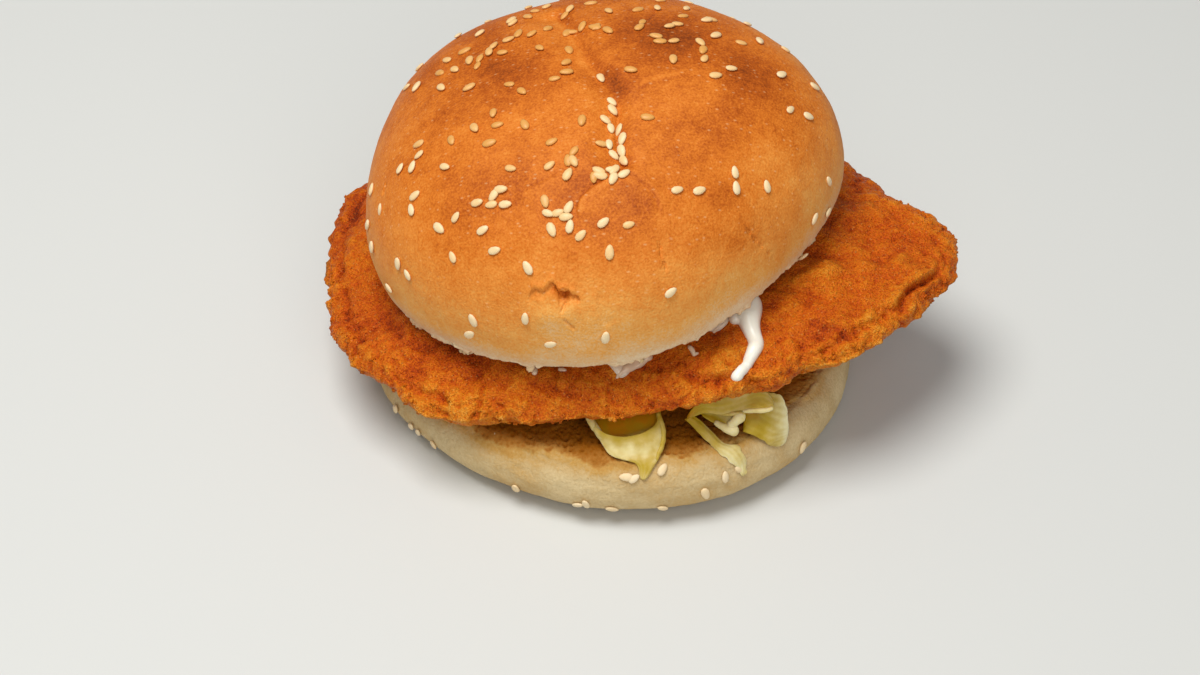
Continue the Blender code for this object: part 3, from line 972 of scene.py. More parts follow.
CREASE = ((99, 46), (98, 52), (86, 68), (31, 82.5), (338, 78), (317, 69), (307, 63), (294, 54), (290, 45),
          (288, 42))
WRINKLES = (
    ((288.5, 43), (282, 41.6), (275, 39.6), (271, 37.4), (269.4, 34), (269.6, 31)),
    ((288.5, 43), (292, 38.6), (294.2, 35), (294.4, 31), (293.6, 26.5)),
    ((265, 46), (261, 44.4), (253.5, 41.4), (246, 37)),
    ((322, 64.6), (339, 59), (349, 52.6), (354, 49)),
    ((128, 60), (140, 52), (150, 47)),
    ((60, 40), (48, 47), (40, 58)),
)
WRINKLE_DEPTHS = (1, 0.7, 0.35, 0.45, 0.5, 0.5)
CRACKS = (
    ((290.5, 22.5), (289.5, 18.6), (290, 14.5)),
    ((314, 15), (315, 9.7), (319, 1)),
    ((196, 24), (203, 15)),
)


def crust_line(points, line):
    """Distance from a line over the crust, the share of the way along it, and the side."""
    return line_distance(points, *zip(*(on_crust(*place) for place in line)))


def faded_ends(along, share=0.2):
    """1 along most of a line and 0 at both its ends."""
    return ease(along, 0, share) * ease(1 - along, 0, share)


print(len(WRINKLES), "wrinkles and", len(CRACKS), "cracks beside the long fold")


# %% Relief of the folds
WRINKLE_SWAY = 0.5  # mm that a wrinkle strays from its line


def crease_relief(points):
    """The long fold: steep on the left of a sharp line, and gentle on the right."""
    distance, along, side = crust_line(points, CREASE)
    left = side > 0
    soft = -1.7 * bell(distance, np.where(left, 3, 7))
    sharp = 0.35 + 0.65 * ease(along, 0.6, 0.75)
    line = -0.8 * sharp * bell(distance + 0.5 * bumps(points, 2.5, 11), 0.7)
    bulge = 0.65 * bell(side + 7, 4) * (distance < 16)
    return (soft + line + bulge) * ease(along, 0, 0.1) * ease(1 - along, -0.02, 0.08)


def wrinkle_relief(points):
    """Steps: the skin stands higher on the left of each line, and falls off away from it."""
    total = np.zeros(len(points))
    for line, depth in zip(WRINKLES, WRINKLE_DEPTHS):
        distance, along, side = crust_line(points, line)
        near = side + WRINKLE_SWAY * bumps(points, 4, 12)
        step = 0.5 * ease(near, -0.4, 0.4) * np.exp(-np.maximum(near, 0) / 4.5) * (distance < 22)
        groove = -0.35 * bell(near, 0.4) * (distance < 4)
        total += depth * (step + groove) * faded_ends(along, 0.3)
    for line in CRACKS:
        distance, along, _ = crust_line(points, line)
        total -= 0.4 * bell(distance + 0.45 * bumps(points, 1.1, 13), 0.3) * faded_ends(along)
    return total


# %% [markdown]
# In the blister a gas bubble lifted the skin and tore it along its upper edge. Under the ragged lip the
# crust lies about a millimetre deeper, and it rises again softly below.

# %% The torn blister
BLISTER_EDGE = ((254.9, 13.6), (255.8, 15.6), (256.8, 16.2), (258.8, 15.6), (260.1, 16.9), (261.4, 17.8),
                (262.1, 17.1), (262.7, 15.6), (265.2, 15.6), (265.8, 14.8), (266.9, 14.6), (267.3, 13.4))
BLISTER_MIDDLE = (262, 12)
BLISTER_DEPTH = 1.5  # mm under the lip
BLISTER_FALL = 5.0  # degrees over which the crust comes back up
BLISTER_NOTCH = 263.6  # bearing where it tore deepest
BLISTER_CRACKS = (((264.5, 13.2), (263.6, 12), (262.8, 10)), ((263, 9.2), (264.2, 7.4), (265.5, 5.6)),
                  ((266.9, 14.4), (267.4, 12.4)))
SIDE_FOLD = ((272.4, 15), (271.8, 11.5), (272.1, 7.6), (273, 5))


def crust_angles(points):
    """Bearing and rise of each point in degrees, as seen from the bun's middle."""
    out = points - CRUST_MIDDLE
    bearing = np.degrees(np.arctan2(out[:, 1], out[:, 0])) % 360
    return bearing, np.degrees(np.arctan2(out[:, 2], np.hypot(out[:, 0], out[:, 1])))


def blister_relief(points):
    """The ragged lip, the sunk crust under it, a soft swelling, and the cracks beside it."""
    bearing, rise = crust_angles(points)
    places, rises = zip(*BLISTER_EDGE)
    edge = np.interp(bearing, places, rises) + 0.2 * bumps(points, 1.3, 17) + 0.2 * bumps(points, 0.7, 19)
    below = edge - rise
    start, end = places[0], places[-1]
    window = ease(bearing, start - 0.4, start + 1.2) * ease(-bearing, -end - 0.3, -end + 0.8)
    centre = bell(bearing - BLISTER_NOTCH, 2.2)
    sunk = ease(below, 0, 0.4) * (1 - ease(below, 0.5, BLISTER_FALL * (0.55 + 0.45 * centre)))
    lip = bell(below + 0.9, 0.8)
    notch = bell(bearing - BLISTER_NOTCH, 1.5) * ease(below, 0, 0.8) * (1 - ease(below, 2, 4.6))
    pillow = 0.8 * bell(bearing - 260.5, 5.5) * bell(rise - 9.5, 3.2)
    total = window * (0.4 * lip - BLISTER_DEPTH * sunk * (0.3 + 0.7 * centre + 0.7 * notch)) + pillow
    for line in BLISTER_CRACKS:
        distance, along, _ = crust_line(points, line)
        total -= 0.7 * bell(distance + 0.2 * bumps(points, 1.2, 18), 0.35) * faded_ends(along, 0.3)
    distance, along, side = crust_line(points, SIDE_FOLD)
    fold = ease(side, -0.8, 0.6) * np.exp(-np.maximum(side, 0) / 2.5) * (distance < 8)
    return total - 0.45 * fold * faded_ends(along)


# %% The whole crust, and where it needs finer faces
def crown_relief(points):
    """Height in mm of everything that stands out of the smooth dome."""
    slow = 0.5 * bumps(points, 26, 1) + 0.22 * bumps(points, 9, 2)
    fine = 0.05 * bumps(points, 2.4, 3) + 0.025 * bumps(points, 1.2, 4)
    return slow + fine + crease_relief(points) + wrinkle_relief(points) + blister_relief(points)


def near_lines(points, lines, width):
    return np.any([crust_line(points, line)[0] < width for line in lines], axis=0)


def near_blister(points, reach):
    return np.linalg.norm(points - on_crust(*BLISTER_MIDDLE)[0], axis=1) < reach


def fine_zone(points):
    """Where the faces are smaller: along the lines, round the blister and at the torn edge."""
    x, y, z = points.T
    torn = (z < 2.2) & (y < 25) & (np.hypot(x, y) > 50)
    return near_lines(points, (CREASE, *WRINKLES, *CRACKS), 3.5) | torn | near_blister(points, 15)


def finest_zone(points):
    """Where they are smaller still: along the cracks and on the blister."""
    return near_lines(points, CRACKS, 1.6) | near_blister(points, 11)


# %% [markdown]
# ### Crust colour
# Crust browns most where it is high, and stays pale where it was shaded. That is a map of the bun, so it is
# painted on the points: 0 is pale crumb and 1 is dark brown. The folds, the wrinkles and the blister also
# carry painted shade and highlight in this number.

# %% How brown each point is
# Each patch: bearing and rise of its middle, its size in mm, and how much darker or paler it is. The last
# three dark patches are painted shade in the blister's notch and under its lip.
DARK_PATCHES = ((26, 58, 11, 0.15), (34, 46, 10, 0.08), (0, 33, 10, 0.18), (322, 38, 16, 0.08),
                (330, 71, 5, 0.12), (160, 65, 9, 0.14), (140, 42, 16, 0.08), (235, 42, 12, 0.06),
                (292, 33, 8, 0.08), (309, 12, 3, 0.14), (264, 14.2, 1.3, 0.26), (262, 15.9, 1.5, 0.16),
                (266.6, 14, 0.8, 0.12))
PALE_PATCHES = ((260, 7.5, 6, 0.12), (265, 5, 8, 0.08), (280, 3, 12, 0.06), (100, 66, 9, 0.07),
                (215, 12, 16, 0.03), (312, 46, 9, 0.06), (335, 52, 10, 0.06), (241, 67, 8, 0.06),
                (271, 18.6, 4, 0.06))


def fold_painted_shade(points):
    """Painted shade and highlight along the folds.

    The long fold is painted darker just left of its line and paler just right of it. Each wrinkle is painted
    darker along its line, paler on its high side just beside it, and darker on its low side.
    """
    distance, along, side = crust_line(points, CREASE)
    patchy = faded_ends(along, 0.1) * (0.6 + 0.6 * bumps(points, 7, 8))
    total = 0.15 * bell(side - 1.6, 1.5) * (distance < 4) * patchy
    total -= 0.12 * bell(side + 1.2, 0.7) * (distance < 3) * patchy
    for line, depth in zip(WRINKLES, WRINKLE_DEPTHS):
        distance, along, side = crust_line(points, line)
        near = side + WRINKLE_SWAY * bumps(points, 4, 12)
        shade = 0.12 * bell(near, 0.5) - 0.09 * bell(near - 1.1, 0.7) + 0.07 * bell(near + 3, 3)
        total += depth * shade * (distance < 9) * faded_ends(along, 0.3)
    return total


def browning(points):
    """How brown the crust is, 0 to 1: by height, patch and chance, with painted shade and highlight at the
    folds.
    """
    height = points[:, 2]
    brown = 0.10 + 0.29 * ease(height, 1.5, 13) + 0.17 * ease(height, 8, 26) + 0.165 * ease(height, 20, 44)
    for patches, sign in ((DARK_PATCHES, 1), (PALE_PATCHES, -1)):
        for bearing, rise, size, strength in patches:
            gap = np.linalg.norm(points - on_crust(bearing, rise)[0], axis=1)
            brown += sign * strength * bell(gap, size)
    brown += fold_painted_shade(points)
    return brown + 0.07 * bumps(points, 14, 5) + 0.045 * bumps(points, 5, 6) + 0.03 * bumps(points, 2, 7)


# %% [markdown]
# Baked crust: a dry, satin skin that runs from cream through golden orange to chestnut. Tiny pale flecks
# speckle it, partly blisters and partly painted highlights, drawn a little coarser than real so that they
# show.

# %% Crust material
CRUST_STOPS = ((0, "#e6cda6"), (0.14, "#e2ba86"), (0.32, "#e4a352"), (0.50, "#de8a38"), (0.68, "#cc6f20"),
               (0.84, "#a95011"), (1, "#7a350c"))
FRECKLE_HIGHLIGHT_COLOUR = "#f0c890"
UNFRECKLED = 0.72  # share of the cells without a blister

crust, tree, shader = new_material("baked_crust", Roughness=0.55, IOR=1.4, Specular_IOR_Level=0.16)
place = add_node(tree, "ShaderNodeTexCoord").outputs["Object"]
mottle = add_node(tree, "ShaderNodeTexNoise",
                  {"Vector": place, "Scale": pattern(2.4), "Detail": 4, "Roughness": 0.7})
peel = add_node(tree, "ShaderNodeTexNoise", {"Vector": place, "Scale": pattern(0.55), "Detail": 2})
browned = toned(tree, "brown", CRUST_STOPS, (mottle, -0.13, 0.13), (peel, -0.2, 0.2))
stretched = add_node(tree, "ShaderNodeMapping", {"Vector": place, "Scale": (0.55, 1, 1)})
# Pale flecks, partly real blisters and partly painted highlights.
dots = speckled(tree, stretched, 1.1, 0.05, 0.3, UNFRECKLED, 0.34)
freckled_and_highlit = add_node(tree, "ShaderNodeMix", {0: dots, 6: browned, 7: colour(FRECKLE_HIGHLIGHT_COLOUR)}, data_type="RGBA")
relief = raised(tree, (mottle, 0.4, 0.6), (peel, 0.5, 0.3))
set_inputs(tree, shader, {"Base Color": freckled_and_highlit.outputs[2], "Normal": relief})

# %% [markdown]
# ### Building the top bun
# The rim was pulled apart more than cut, which leaves a ragged edge with small teeth. Rings close the
# underside, because only its outermost millimetres ever show.

# %% Close the top bun
CUT_RINGS = (1, 2.5, 5, 9, 16, 30)  # insets of the rings across the cut face
FRONT_LIFT = 1.2  # mm that the front edge curls up
CRUMB_BROWN = 0.03  # how brown the bare crumb underneath is

rim_radius = radius_at(crown_outline, bearing[grid_rim]) * (1 - CROWN_CUT_INSET / crown_mean)
cut_rings = []
for step in CUT_RINGS:
    ring = polar(rim_radius - step, bearing[grid_rim], 0)
    ring[:, 2] += 0.35 * bumps(ring, 3, 21) + 0.3 + FRONT_LIFT * ease(-ring[:, 1], 5, 38)
    cut_rings.append(ring)
top_bun = closed_below("top_bun_crust", dome_points, grid_faces, grid_rim, cut_rings, (0, 0, 0.3), crust)
on_dome = np.zeros(len(top_bun.data.vertices))
on_dome[:len(dome_points)] = 1
paint(top_bun, "skin", on_dome)
refine(top_bun, fine_zone)
refine(top_bun, finest_zone)
skin = read_paint(top_bun, "skin")
points = mesh_points(top_bun)
push_out(top_bun, crown_relief(points) * skin * ease(points[:, 2], 0, 3))
report_size(top_bun)

# %% Tear the edge of the top bun
TEAR = 1.3  # mm up and down
FLARE = 0.012  # share by which it stands out

over_edge = np.maximum(points[:, 2], 0)
level = points * (1, 1, 0)
low = points * (1, 1, 0.3)
front = ease(-points[:, 1], 5, 38)
tear = (0.6 * bumps(low, 2.6, 23) + 0.4 * bumps(low, 1.1, 24)) * np.exp(-over_edge / 1.2) * skin
fluff = (bumps(points, 1.5, 25) + 0.6 * bumps(points, 0.8, 26)) * bell(over_edge, 1.8) * skin
torn_off = ease(bumps(level, 9, 27), -0.6, 0.3) * ease(-points[:, 1], 0, 30)
hanging = ease(bumps(level, 3.4, 28) + 0.8 * bumps(level, 1.2, 29), -0.2, 1)
teeth = torn_off * hanging * np.exp(-over_edge / 1.3) * skin
layered = bumps(points * (0.6, 0.6, 2.2), 2, 24) * bell(points[:, 2], 2.6) * skin * front
moved = mesh_points(top_bun)
moved[:, 2] += FRONT_LIFT * front * bell(over_edge, 5) * skin
moved[:, 2] += TEAR * tear * (0.5 + torn_off) + 0.5 * fluff - 1.3 * teeth
spread = FLARE * front * bell(over_edge, 2) * skin
moved[:, :2] *= (1 + spread + 0.010 * tear + 0.012 * fluff + 0.012 * teeth + 0.006 * layered)[:, None]
move_points(top_bun, from_crown(moved))
report_size(top_bun)

# %% Brown the top bun
edge_band = 2.4 + 1.8 * front + 0.8 * bumps(points * (1, 1, 0.5), 6, 20)  # mm of paler crust at the edge
brown = skin * browning(points) + CRUMB_BROWN * (1 - skin)
brown += 0.05 * layered - (0.05 + 0.04 * front) * bell(over_edge, edge_band) * skin
paint(top_bun, "brown", brown)
print("crust's colour from", round(brown.min(), 2), "to", round(brown.max(), 2))
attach(top_bun, "root")
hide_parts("top_bun")

# %% [markdown]
# ## Sesame seeds
# A hulled sesame seed is a flat teardrop. The seeds lie flat on the crust and half sunk in it, single or in
# small clumps, and a row of them rolled into the fold. Where they show from the front their places are
# listed, and a spiral fills the back.

# %% Seed tree: the shape of one seed
SEED_LENGTH, SEED_WIDTH, SEED_THICKNESS = 3.55, 2.05, 1.0  # mm, before each seed's own growth
SEED_SIZES = {"Length": SEED_LENGTH * MM, "Width": SEED_WIDTH * MM, "Thickness": SEED_THICKNESS * MM}

seed_tree, given = new_tree("sesame_seeds", {**SEED_SIZES, "Taper": 0.35, "Smallest": 0.86, "Largest": 1.1,
                                             "Seed": 7})
ball = add_node(seed_tree, "GeometryNodeMeshUVSphere", {"Segments": 10, "Rings": 7, "Radius": 0.5})
part = add_node(seed_tree, "ShaderNodeSeparateXYZ", {0: add_node(seed_tree, "GeometryNodeInputPosition")})
lost = add_node(seed_tree, "ShaderNodeMath", {0: part.outputs["X"], 1: given["Taper"]}, operation="MULTIPLY")
left = add_node(seed_tree, "ShaderNodeMath", {0: 1.0, 1: lost}, operation="SUBTRACT")
width = add_node(seed_tree, "ShaderNodeMath", {0: left, 1: given["Width"]}, operation="MULTIPLY")
sides = [add_node(seed_tree, "ShaderNodeMath", {0: part.outputs[axis], 1: by}, operation="MULTIPLY")
         for axis, by in (("X", given["Length"]), ("Y", width), ("Z", given["Thickness"]))]
drop = add_node(seed_tree, "ShaderNodeCombineXYZ", dict(enumerate(sides)))
seed_shape = add_node(seed_tree, "GeometryNodeSetPosition", {"Geometry": ball, "Position": drop})
# Height within the seed, from -1 underneath to 1 on top, by which the material paints shade low on it.
top = add_node(seed_tree, "ShaderNodeMath", {0: part.outputs["Z"], 1: 2.0}, operation="MULTIPLY")
seed_shape = add_node(seed_tree, "GeometryNodeStoreNamedAttribute",
                      {"Geometry": seed_shape, "Name": "top", "Value": top}, data_type="FLOAT")
print("seed tree makes seeds of", SEED_LENGTH, "x", SEED_WIDTH, "x", SEED_THICKNESS, "mm")

# %% Seed tree: one seed on each point
outwards = add_node(seed_tree, "GeometryNodeInputNamedAttribute", {"Name": "outwards"},
                    data_type="FLOAT_VECTOR")
spin = add_node(seed_tree, "GeometryNodeInputNamedAttribute", {"Name": "spin"}, data_type="FLOAT")
upright = add_node(seed_tree, "FunctionNodeAlignRotationToVector", {"Vector": outwards}, axis="Z")
spun = add_node(seed_tree, "FunctionNodeAxisAngleToRotation", {"Angle": spin})
turned = add_node(seed_tree, "FunctionNodeRotateRotation", {"Rotation": upright, "Rotate By": spun},
                  rotation_space="LOCAL")
growth = add_node(seed_tree, "FunctionNodeRandomValue",
                  {2: given["Smallest"], 3: given["Largest"], "Seed": given["Seed"]}, data_type="FLOAT")
copies = add_node(seed_tree, "GeometryNodeInstanceOnPoints",
                  {"Points": given["Geometry"], "Instance": seed_shape, "Rotation": turned,
                   "Scale": growth.outputs[1]})
end_tree(seed_tree, copies, given["Material"])

# %% [markdown]
# Hulled sesame is ivory, and toasts to gold at the top of the bun. Its smooth, slightly oily skin gives a
# soft highlight. Each seed carries a number for its toasting, and is painted darker low on its sides, painted
# shade where it sinks into the crust.

# %% Seed material
SEED_STOPS = ((0.0, "#ecdcba"), (0.35, "#e8cc9c"), (0.7, "#e3b777"), (1.0, "#d4984c"))
sesame, tree, shader = new_material("hulled_sesame_seed", Roughness=0.42, IOR=1.47, Specular_IOR_Level=0.4)
place = add_node(tree, "ShaderNodeTexCoord").outputs["Object"]
stain = add_node(tree, "ShaderNodeTexNoise", {"Vector": place, "Scale": pattern(1.6), "Detail": 2.0})
top = add_node(tree, "ShaderNodeAttribute", attribute_name="top").outputs["Fac"]
# Low on its sides the seed is painted more toasted: painted shade where it meets the crust.
ivory = toned(tree, "toasting", SEED_STOPS, (stain, -0.16, 0.16), (top, 0.2, 0.0, 0.1, 0.95))
set_inputs(tree, shader, {"Base Color": ivory})

# %% Where the seeds lie on the top bun
# Bearing and rise of each seed as seen from the bun's middle. A third number is its slant, 0 for level and
# 90 for up the crust. Four numbers are a clump: how many seeds, and how many degrees they spread, come last.
SEEDS = (
    (234, 87), (115, 85), (220, 82), (335, 78), (95, 76), (128, 71), (205, 70), (347, 68), (187, 67),
    (71, 64), (91, 62), (277, 62), (236, 60), (210, 58), (41, 58), (26, 57), (125, 56), (220, 56), (1, 55),
    (258, 55), (142, 54, 2, 2.2), (18, 53), (176, 53), (314, 53), (284, 52), (153, 51, 2, 2.4), (211, 51),
    (225, 50), (269, 49, 3, 2.2), (92, 48), (33, 47), (259, 47), (112, 46), (3, 46), (158, 45),
    (242, 45, 10), (13, 45, 2, 2.6), (207, 44), (51, 44), (119, 44), (267, 44), (169, 43),
    (283, 42, 3, 3.0), (353, 43), (102, 42), (39, 42), (277, 42), (150, 39), (359, 39), (215, 38, 25),
    (242, 37, 4, 3.0), (260, 36, 2, 2.2), (33, 36), (196, 36), (201, 35), (267, 35), (235, 34, 45),
    (16, 34), (162, 33), (203, 32, 120), (302, 31, -30), (265, 31, 4, 3.2), (277, 30, 20), (230, 29, 70),
    (199, 29, 125), (270, 28, 50), (212, 28, 60), (308, 28, -30), (284, 28, -10), (19, 28), (240, 28, 45),
    (321, 26, 40), (318, 23, 45), (3, 26), (226, 25, 0), (214, 25, 135), (245, 24, 20), (277, 23, 80),
    (351, 23), (255, 21, 120), (233, 20, 130), (353, 18), (201, 18, 105), (326, 18, 75), (191, 17, 125),
    (6, 16), (220, 11, 155), (216, 12), (289, 10, 5), (196, 10), (254, 9, 70), (202, 8), (240, 6, 110),
    (345, 4), (272, 3, 60), (259, 2, 0), (211, 2), (238, 1, 40), (335, 1), (342, -3),
)
# Seeds that rolled into the fold: bearing, rise, and the place that each one points at.
FOLD_SEEDS = (
    (333.4, 77.8, (318, 75)), (308.3, 66.5, (309, 60)), (303, 63.2, (296, 56)), (293, 60.4, (292, 50)),
    (293.5, 56.6, (290, 50)), (298, 55, (288, 50)), (296, 51.2, (296, 44)), (288, 51, (292, 44)),
    (292.6, 47.4, (290, 40)), (288, 47.2, (291, 38)), (291.4, 44.2, (294, 40)), (284.4, 42.8, (270, 45)),
    (279.6, 42, (270, 46)), (288.4, 40.6, (300, 42)),
)
BACK_SEEDS = 46
print(len(SEEDS), "places by hand,", len(FOLD_SEEDS), "in the fold and", BACK_SEEDS, "at the back")

# %% [markdown]
# The clumps and the back turn by the golden angle, 137.5 degrees or 2.4 radians, which never lines up two
# seeds. Small chances from a fixed list keep the rest from looking placed.

# %% A place and a heading for every seed
chances = hashed(np.stack([np.arange(400)] * 3, axis=1), 71)


def seed_places():
    """Bearing and rise of every seed, and a second place that it points at."""
    for bearing, rise, *more in SEEDS:
        count, spread = more if len(more) == 2 else (1, 0)
        level = math.cos(math.radians(rise))
        for k in range(count):
            swing = 2.4 * k + bearing
            step = spread * (0.6 + 0.4 * (k % 2))
            slant = math.radians(more[0] if len(more) == 1 else 360 * chances[k + bearing % 90])
            across, up = bearing + step * math.cos(swing) / level, rise + step * math.sin(swing)
            yield across, up, (across + 4 * math.cos(slant) / level, up + 4 * math.sin(slant))
    for bearing, rise, towards in FOLD_SEEDS:
        yield bearing, rise, (towards[0] + 12 * (chances[int(rise * 5)] - 0.5), towards[1])
    for k in range(BACK_SEEDS):
        rise = 66 * (k / BACK_SEEDS) ** 0.8 + 3 * math.sin(3 * k)
        bearing = 20 + (137.5 * k) % 150
        yield bearing, rise, (bearing + 8 * chances[k] - 4, rise + 4 * chances[k + 60])


def spin_towards(normal, heading):
    """The turn about its normal that points a flat-laid seed along a heading."""
    start = Vector((0, 0, 1)).rotation_difference(normal) @ Vector((1, 0, 0))
    return math.atan2(start.cross(heading).dot(normal), start.dot(heading))


# %% Points for the seed tree
def seed_points(name, places):
    """Bare points, each with the way out of the crust, a spin, and how toasted its seed is."""
    mesh = bpy.data.meshes.new(name)
    spots, ways, spins, toasts = zip(*places)
    mesh.from_pydata([tuple(np.array(spot) * MM) for spot in spots], [], [])
    mesh.attributes.new("outwards", "FLOAT_VECTOR", "POINT").data.foreach_set("vector", np.ravel(ways))
    mesh.attributes.new("spin", "FLOAT", "POINT").data.foreach_set("value", spins)
    mesh.attributes.new("toasting", "FLOAT", "POINT").data.foreach_set("value", np.clip(toasts, 0, 1))
    return mesh


def tree_of(piece):
    """A piece's surface in mm, ready for rays and for the nearest point."""
    return BVHTree.FromPolygons([tuple(point) for point in mesh_points(piece)],
                                [tuple(face.vertices) for face in piece.data.polygons])


# %% Seeds on the top bun
FOLD_NEAR = 3.5  # mm from the fold within which seeds stayed pale
crust_tree = tree_of(top_bun)
crown_middle = Vector(from_crown([CRUST_MIDDLE])[0])


def crown_way(bearing, rise):
    """The direction at a bearing and rise in degrees, in the burger's frame."""
    return Vector(np.array(crust_way(bearing, rise)) @ crown_axes)


spots = []
for k, (bearing_at, rise, heading) in enumerate(seed_places()):
    spot, normal, _, _ = crust_tree.ray_cast(crown_middle, crown_way(bearing_at, rise))
    spin = spin_towards(normal, crown_way(*heading) - crown_way(bearing_at, rise)) + 0.5 * (chances[k] - 0.5)
    toasting = 0.08 + 0.7 * ease(rise, 22, 66) + 0.5 * chances[k + 100] ** 2 * ease(rise, 8, 30)
    if near_lines(to_crown([spot]), [CREASE[3:]], FOLD_NEAR)[0]:
        toasting = 0.15 + 0.2 * chances[k]
    lift = SEED_THICKNESS / 2 - 0.3 * chances[k + 100]
    spots.append((spot + normal * lift, normal, spin, toasting))
seeds_given = {**SEED_SIZES, "Material": sesame}
crown_seeds = grown("top_bun_sesame_seeds", seed_points("crown_seed_places", spots), seed_tree, seeds_given)
print(len(spots), "seeds on the top bun")
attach(crown_seeds, "root")

# %% [markdown]
# Some seeds fell onto the wall and lip of the bottom bun, and a few cling to the torn rim of the top bun.

# %% Seeds on the bottom bun and at the rim
HEEL_SEEDS = ((-56, -28, 7.5), (-52, -34, 7), (-50, -36, 7), (-46, -40, 6.5), (-25, -55, 6), (-9.5, -61, 6),
              (-7.5, -61.5, 7), (-1, -62, 5.5), (11.5, -62, 6), (22, -60, 9), (27, -58, 12.5), (31, -56, 13),
              (11.5, -59, 16.5), (4.5, -60.5, 15), (2.5, -60.5, 15.5), (46, -44, 9),
              (58, 8, 6), (-58, 12, 9), (30, 54, 7), (-6, 61, 8), (-34, 50, 6))
RIM_SEEDS = ((-20, -41.5, 36), (-47, -24, 33.5), (-35, -33.5, 34.5), (-34, -35, 35), (54, -22, 47),
             (-58, -2, 36))


def stuck_seeds(surface, places, start):
    """Seeds against the nearest bread; start is where their chances begin in the list."""
    for k, place in enumerate(places, start):
        spot, normal, _, _ = surface.find_nearest(Vector(place))
        lift = SEED_THICKNESS / 2 - 0.1 * chances[k]
        yield spot + normal * lift, normal, chances[k] * TURN, 0.15 * chances[k + 50]


stray = [*stuck_seeds(tree_of(bottom_bun), HEEL_SEEDS, 200), *stuck_seeds(crust_tree, RIM_SEEDS, 240)]
stray_seeds = grown("stray_sesame_seeds", seed_points("stray_seed_places", stray), seed_tree, seeds_given)
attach(stray_seeds, "root")

# %% [markdown]
# ## Lettuce
# Shredded iceberg: torn and folded pieces of leaf half a millimetre thick, cream near the heart and green at
# the edge. Each is a sheet drawn through a few lines across it, then given a thickness, ribs and a ruffle.


# %% Smooth sheets
def smooth_line(corners, count):
    """Evenly spaced points along a Catmull-Rom curve through all the corners."""
    corners = np.asarray(corners, float)
    ends = np.concatenate([[2 * corners[0] - corners[1]], corners, [2 * corners[-1] - corners[-2]]])
    t = np.linspace(0, 1, 10, endpoint=False)[:, None]
    parts = [b + 0.5 * t * ((c - a) + t * ((2 * a - 5 * b + 4 * c - d) + t * (3 * b - a - 3 * c + d)))
             for a, b, c, d in zip(ends, ends[1:], ends[2:], ends[3:])]
    line = np.concatenate([*parts, corners[-1:]])
    run = np.concatenate([[0], np.cumsum(np.linalg.norm(np.diff(line, axis=0), axis=1))])
    places = np.linspace(0, run[-1], count)
    return np.stack([np.interp(places, run, line[:, i]) for i in range(3)], axis=1)


def sheet_grid(rows, long, wide):
    """A grid of points through rows that run across the leaf, from hidden end to tip."""
    lines = np.stack([smooth_line(row, wide) for row in rows])
    return np.stack([smooth_line(lines[:, i], long) for i in range(wide)], axis=1)


def grid_normals(grid):
    """The way out of the sheet at each of its points."""
    across = np.cross(np.gradient(grid, axis=0), np.gradient(grid, axis=1))
    return across / np.maximum(np.linalg.norm(across, axis=2, keepdims=True), 1e-9)


# %% Thickness
EDGE_SHARE = 0.35  # of a leaf's thickness that is left at its edge


def from_ends(count):
    """How many steps each of a row of points lies from the nearer end."""
    return np.minimum(np.arange(count), np.arange(count)[::-1])


def thick_sheet(grid, thickness):
    """Points and faces of a closed sheet, thinner at its edges."""
    long, wide = grid.shape[:2]
    inward = np.minimum(from_ends(long)[:, None], from_ends(wide)[None, :])
    lift = grid_normals(grid) * thickness / 2 * np.clip(inward / 2, EDGE_SHARE, 1)[:, :, None]
    corner = np.arange(long * wide).reshape(long, wide)
    upper = np.stack([corner[:-1, :-1], corner[1:, :-1], corner[1:, 1:], corner[:-1, 1:]], axis=-1)
    upper = upper.reshape(-1, 4)
    border = np.concatenate([corner[0, :-1], corner[:-1, -1], corner[-1, :0:-1], corner[:0:-1, 0]])
    follow = np.roll(border, -1)
    below = corner.size
    sides = np.stack([border, follow, follow + below, border + below], axis=1)
    points = np.concatenate([(grid + lift).reshape(-1, 3), (grid - lift).reshape(-1, 3)])
    return points, np.concatenate([upper, upper[:, ::-1] + below, sides])


# %% [markdown]
# Every point of a leaf that would sink into the bottom bun is lifted onto it, and every point that would
# cut into the fillet is pressed down below it.

# %% Resting between the bun and the fillet
REST_GAP = 0.1  # mm left between a leaf and what it touches
heel_tree = tree_of(bottom_bun)
coating_tree = tree_of(fillet)


def rested(points, gap):
    """Points pressed down below the fillet and lifted onto the bun; a missing roof or ground is no limit."""
    roof = np.array([height_of(coating_tree, x, y, 1) for x, y, _ in points]) - gap
    ground = np.array([height_of(heel_tree, x, y, -1) for x, y, _ in points]) + gap
    return np.column_stack([points[:, :2], np.fmax(np.fmin(points[:, 2], roof), ground)])


# %% [markdown]
# Raw lettuce is pale and a little see-through. Each sheet carries a number for how green it is, 0 at the
# white rib and higher toward the green edge. The same number carries painted shade: it is raised where a leaf
# lies in the shade of the fillet or deep in the pocket, and its last stops are the warm brown of that shade.

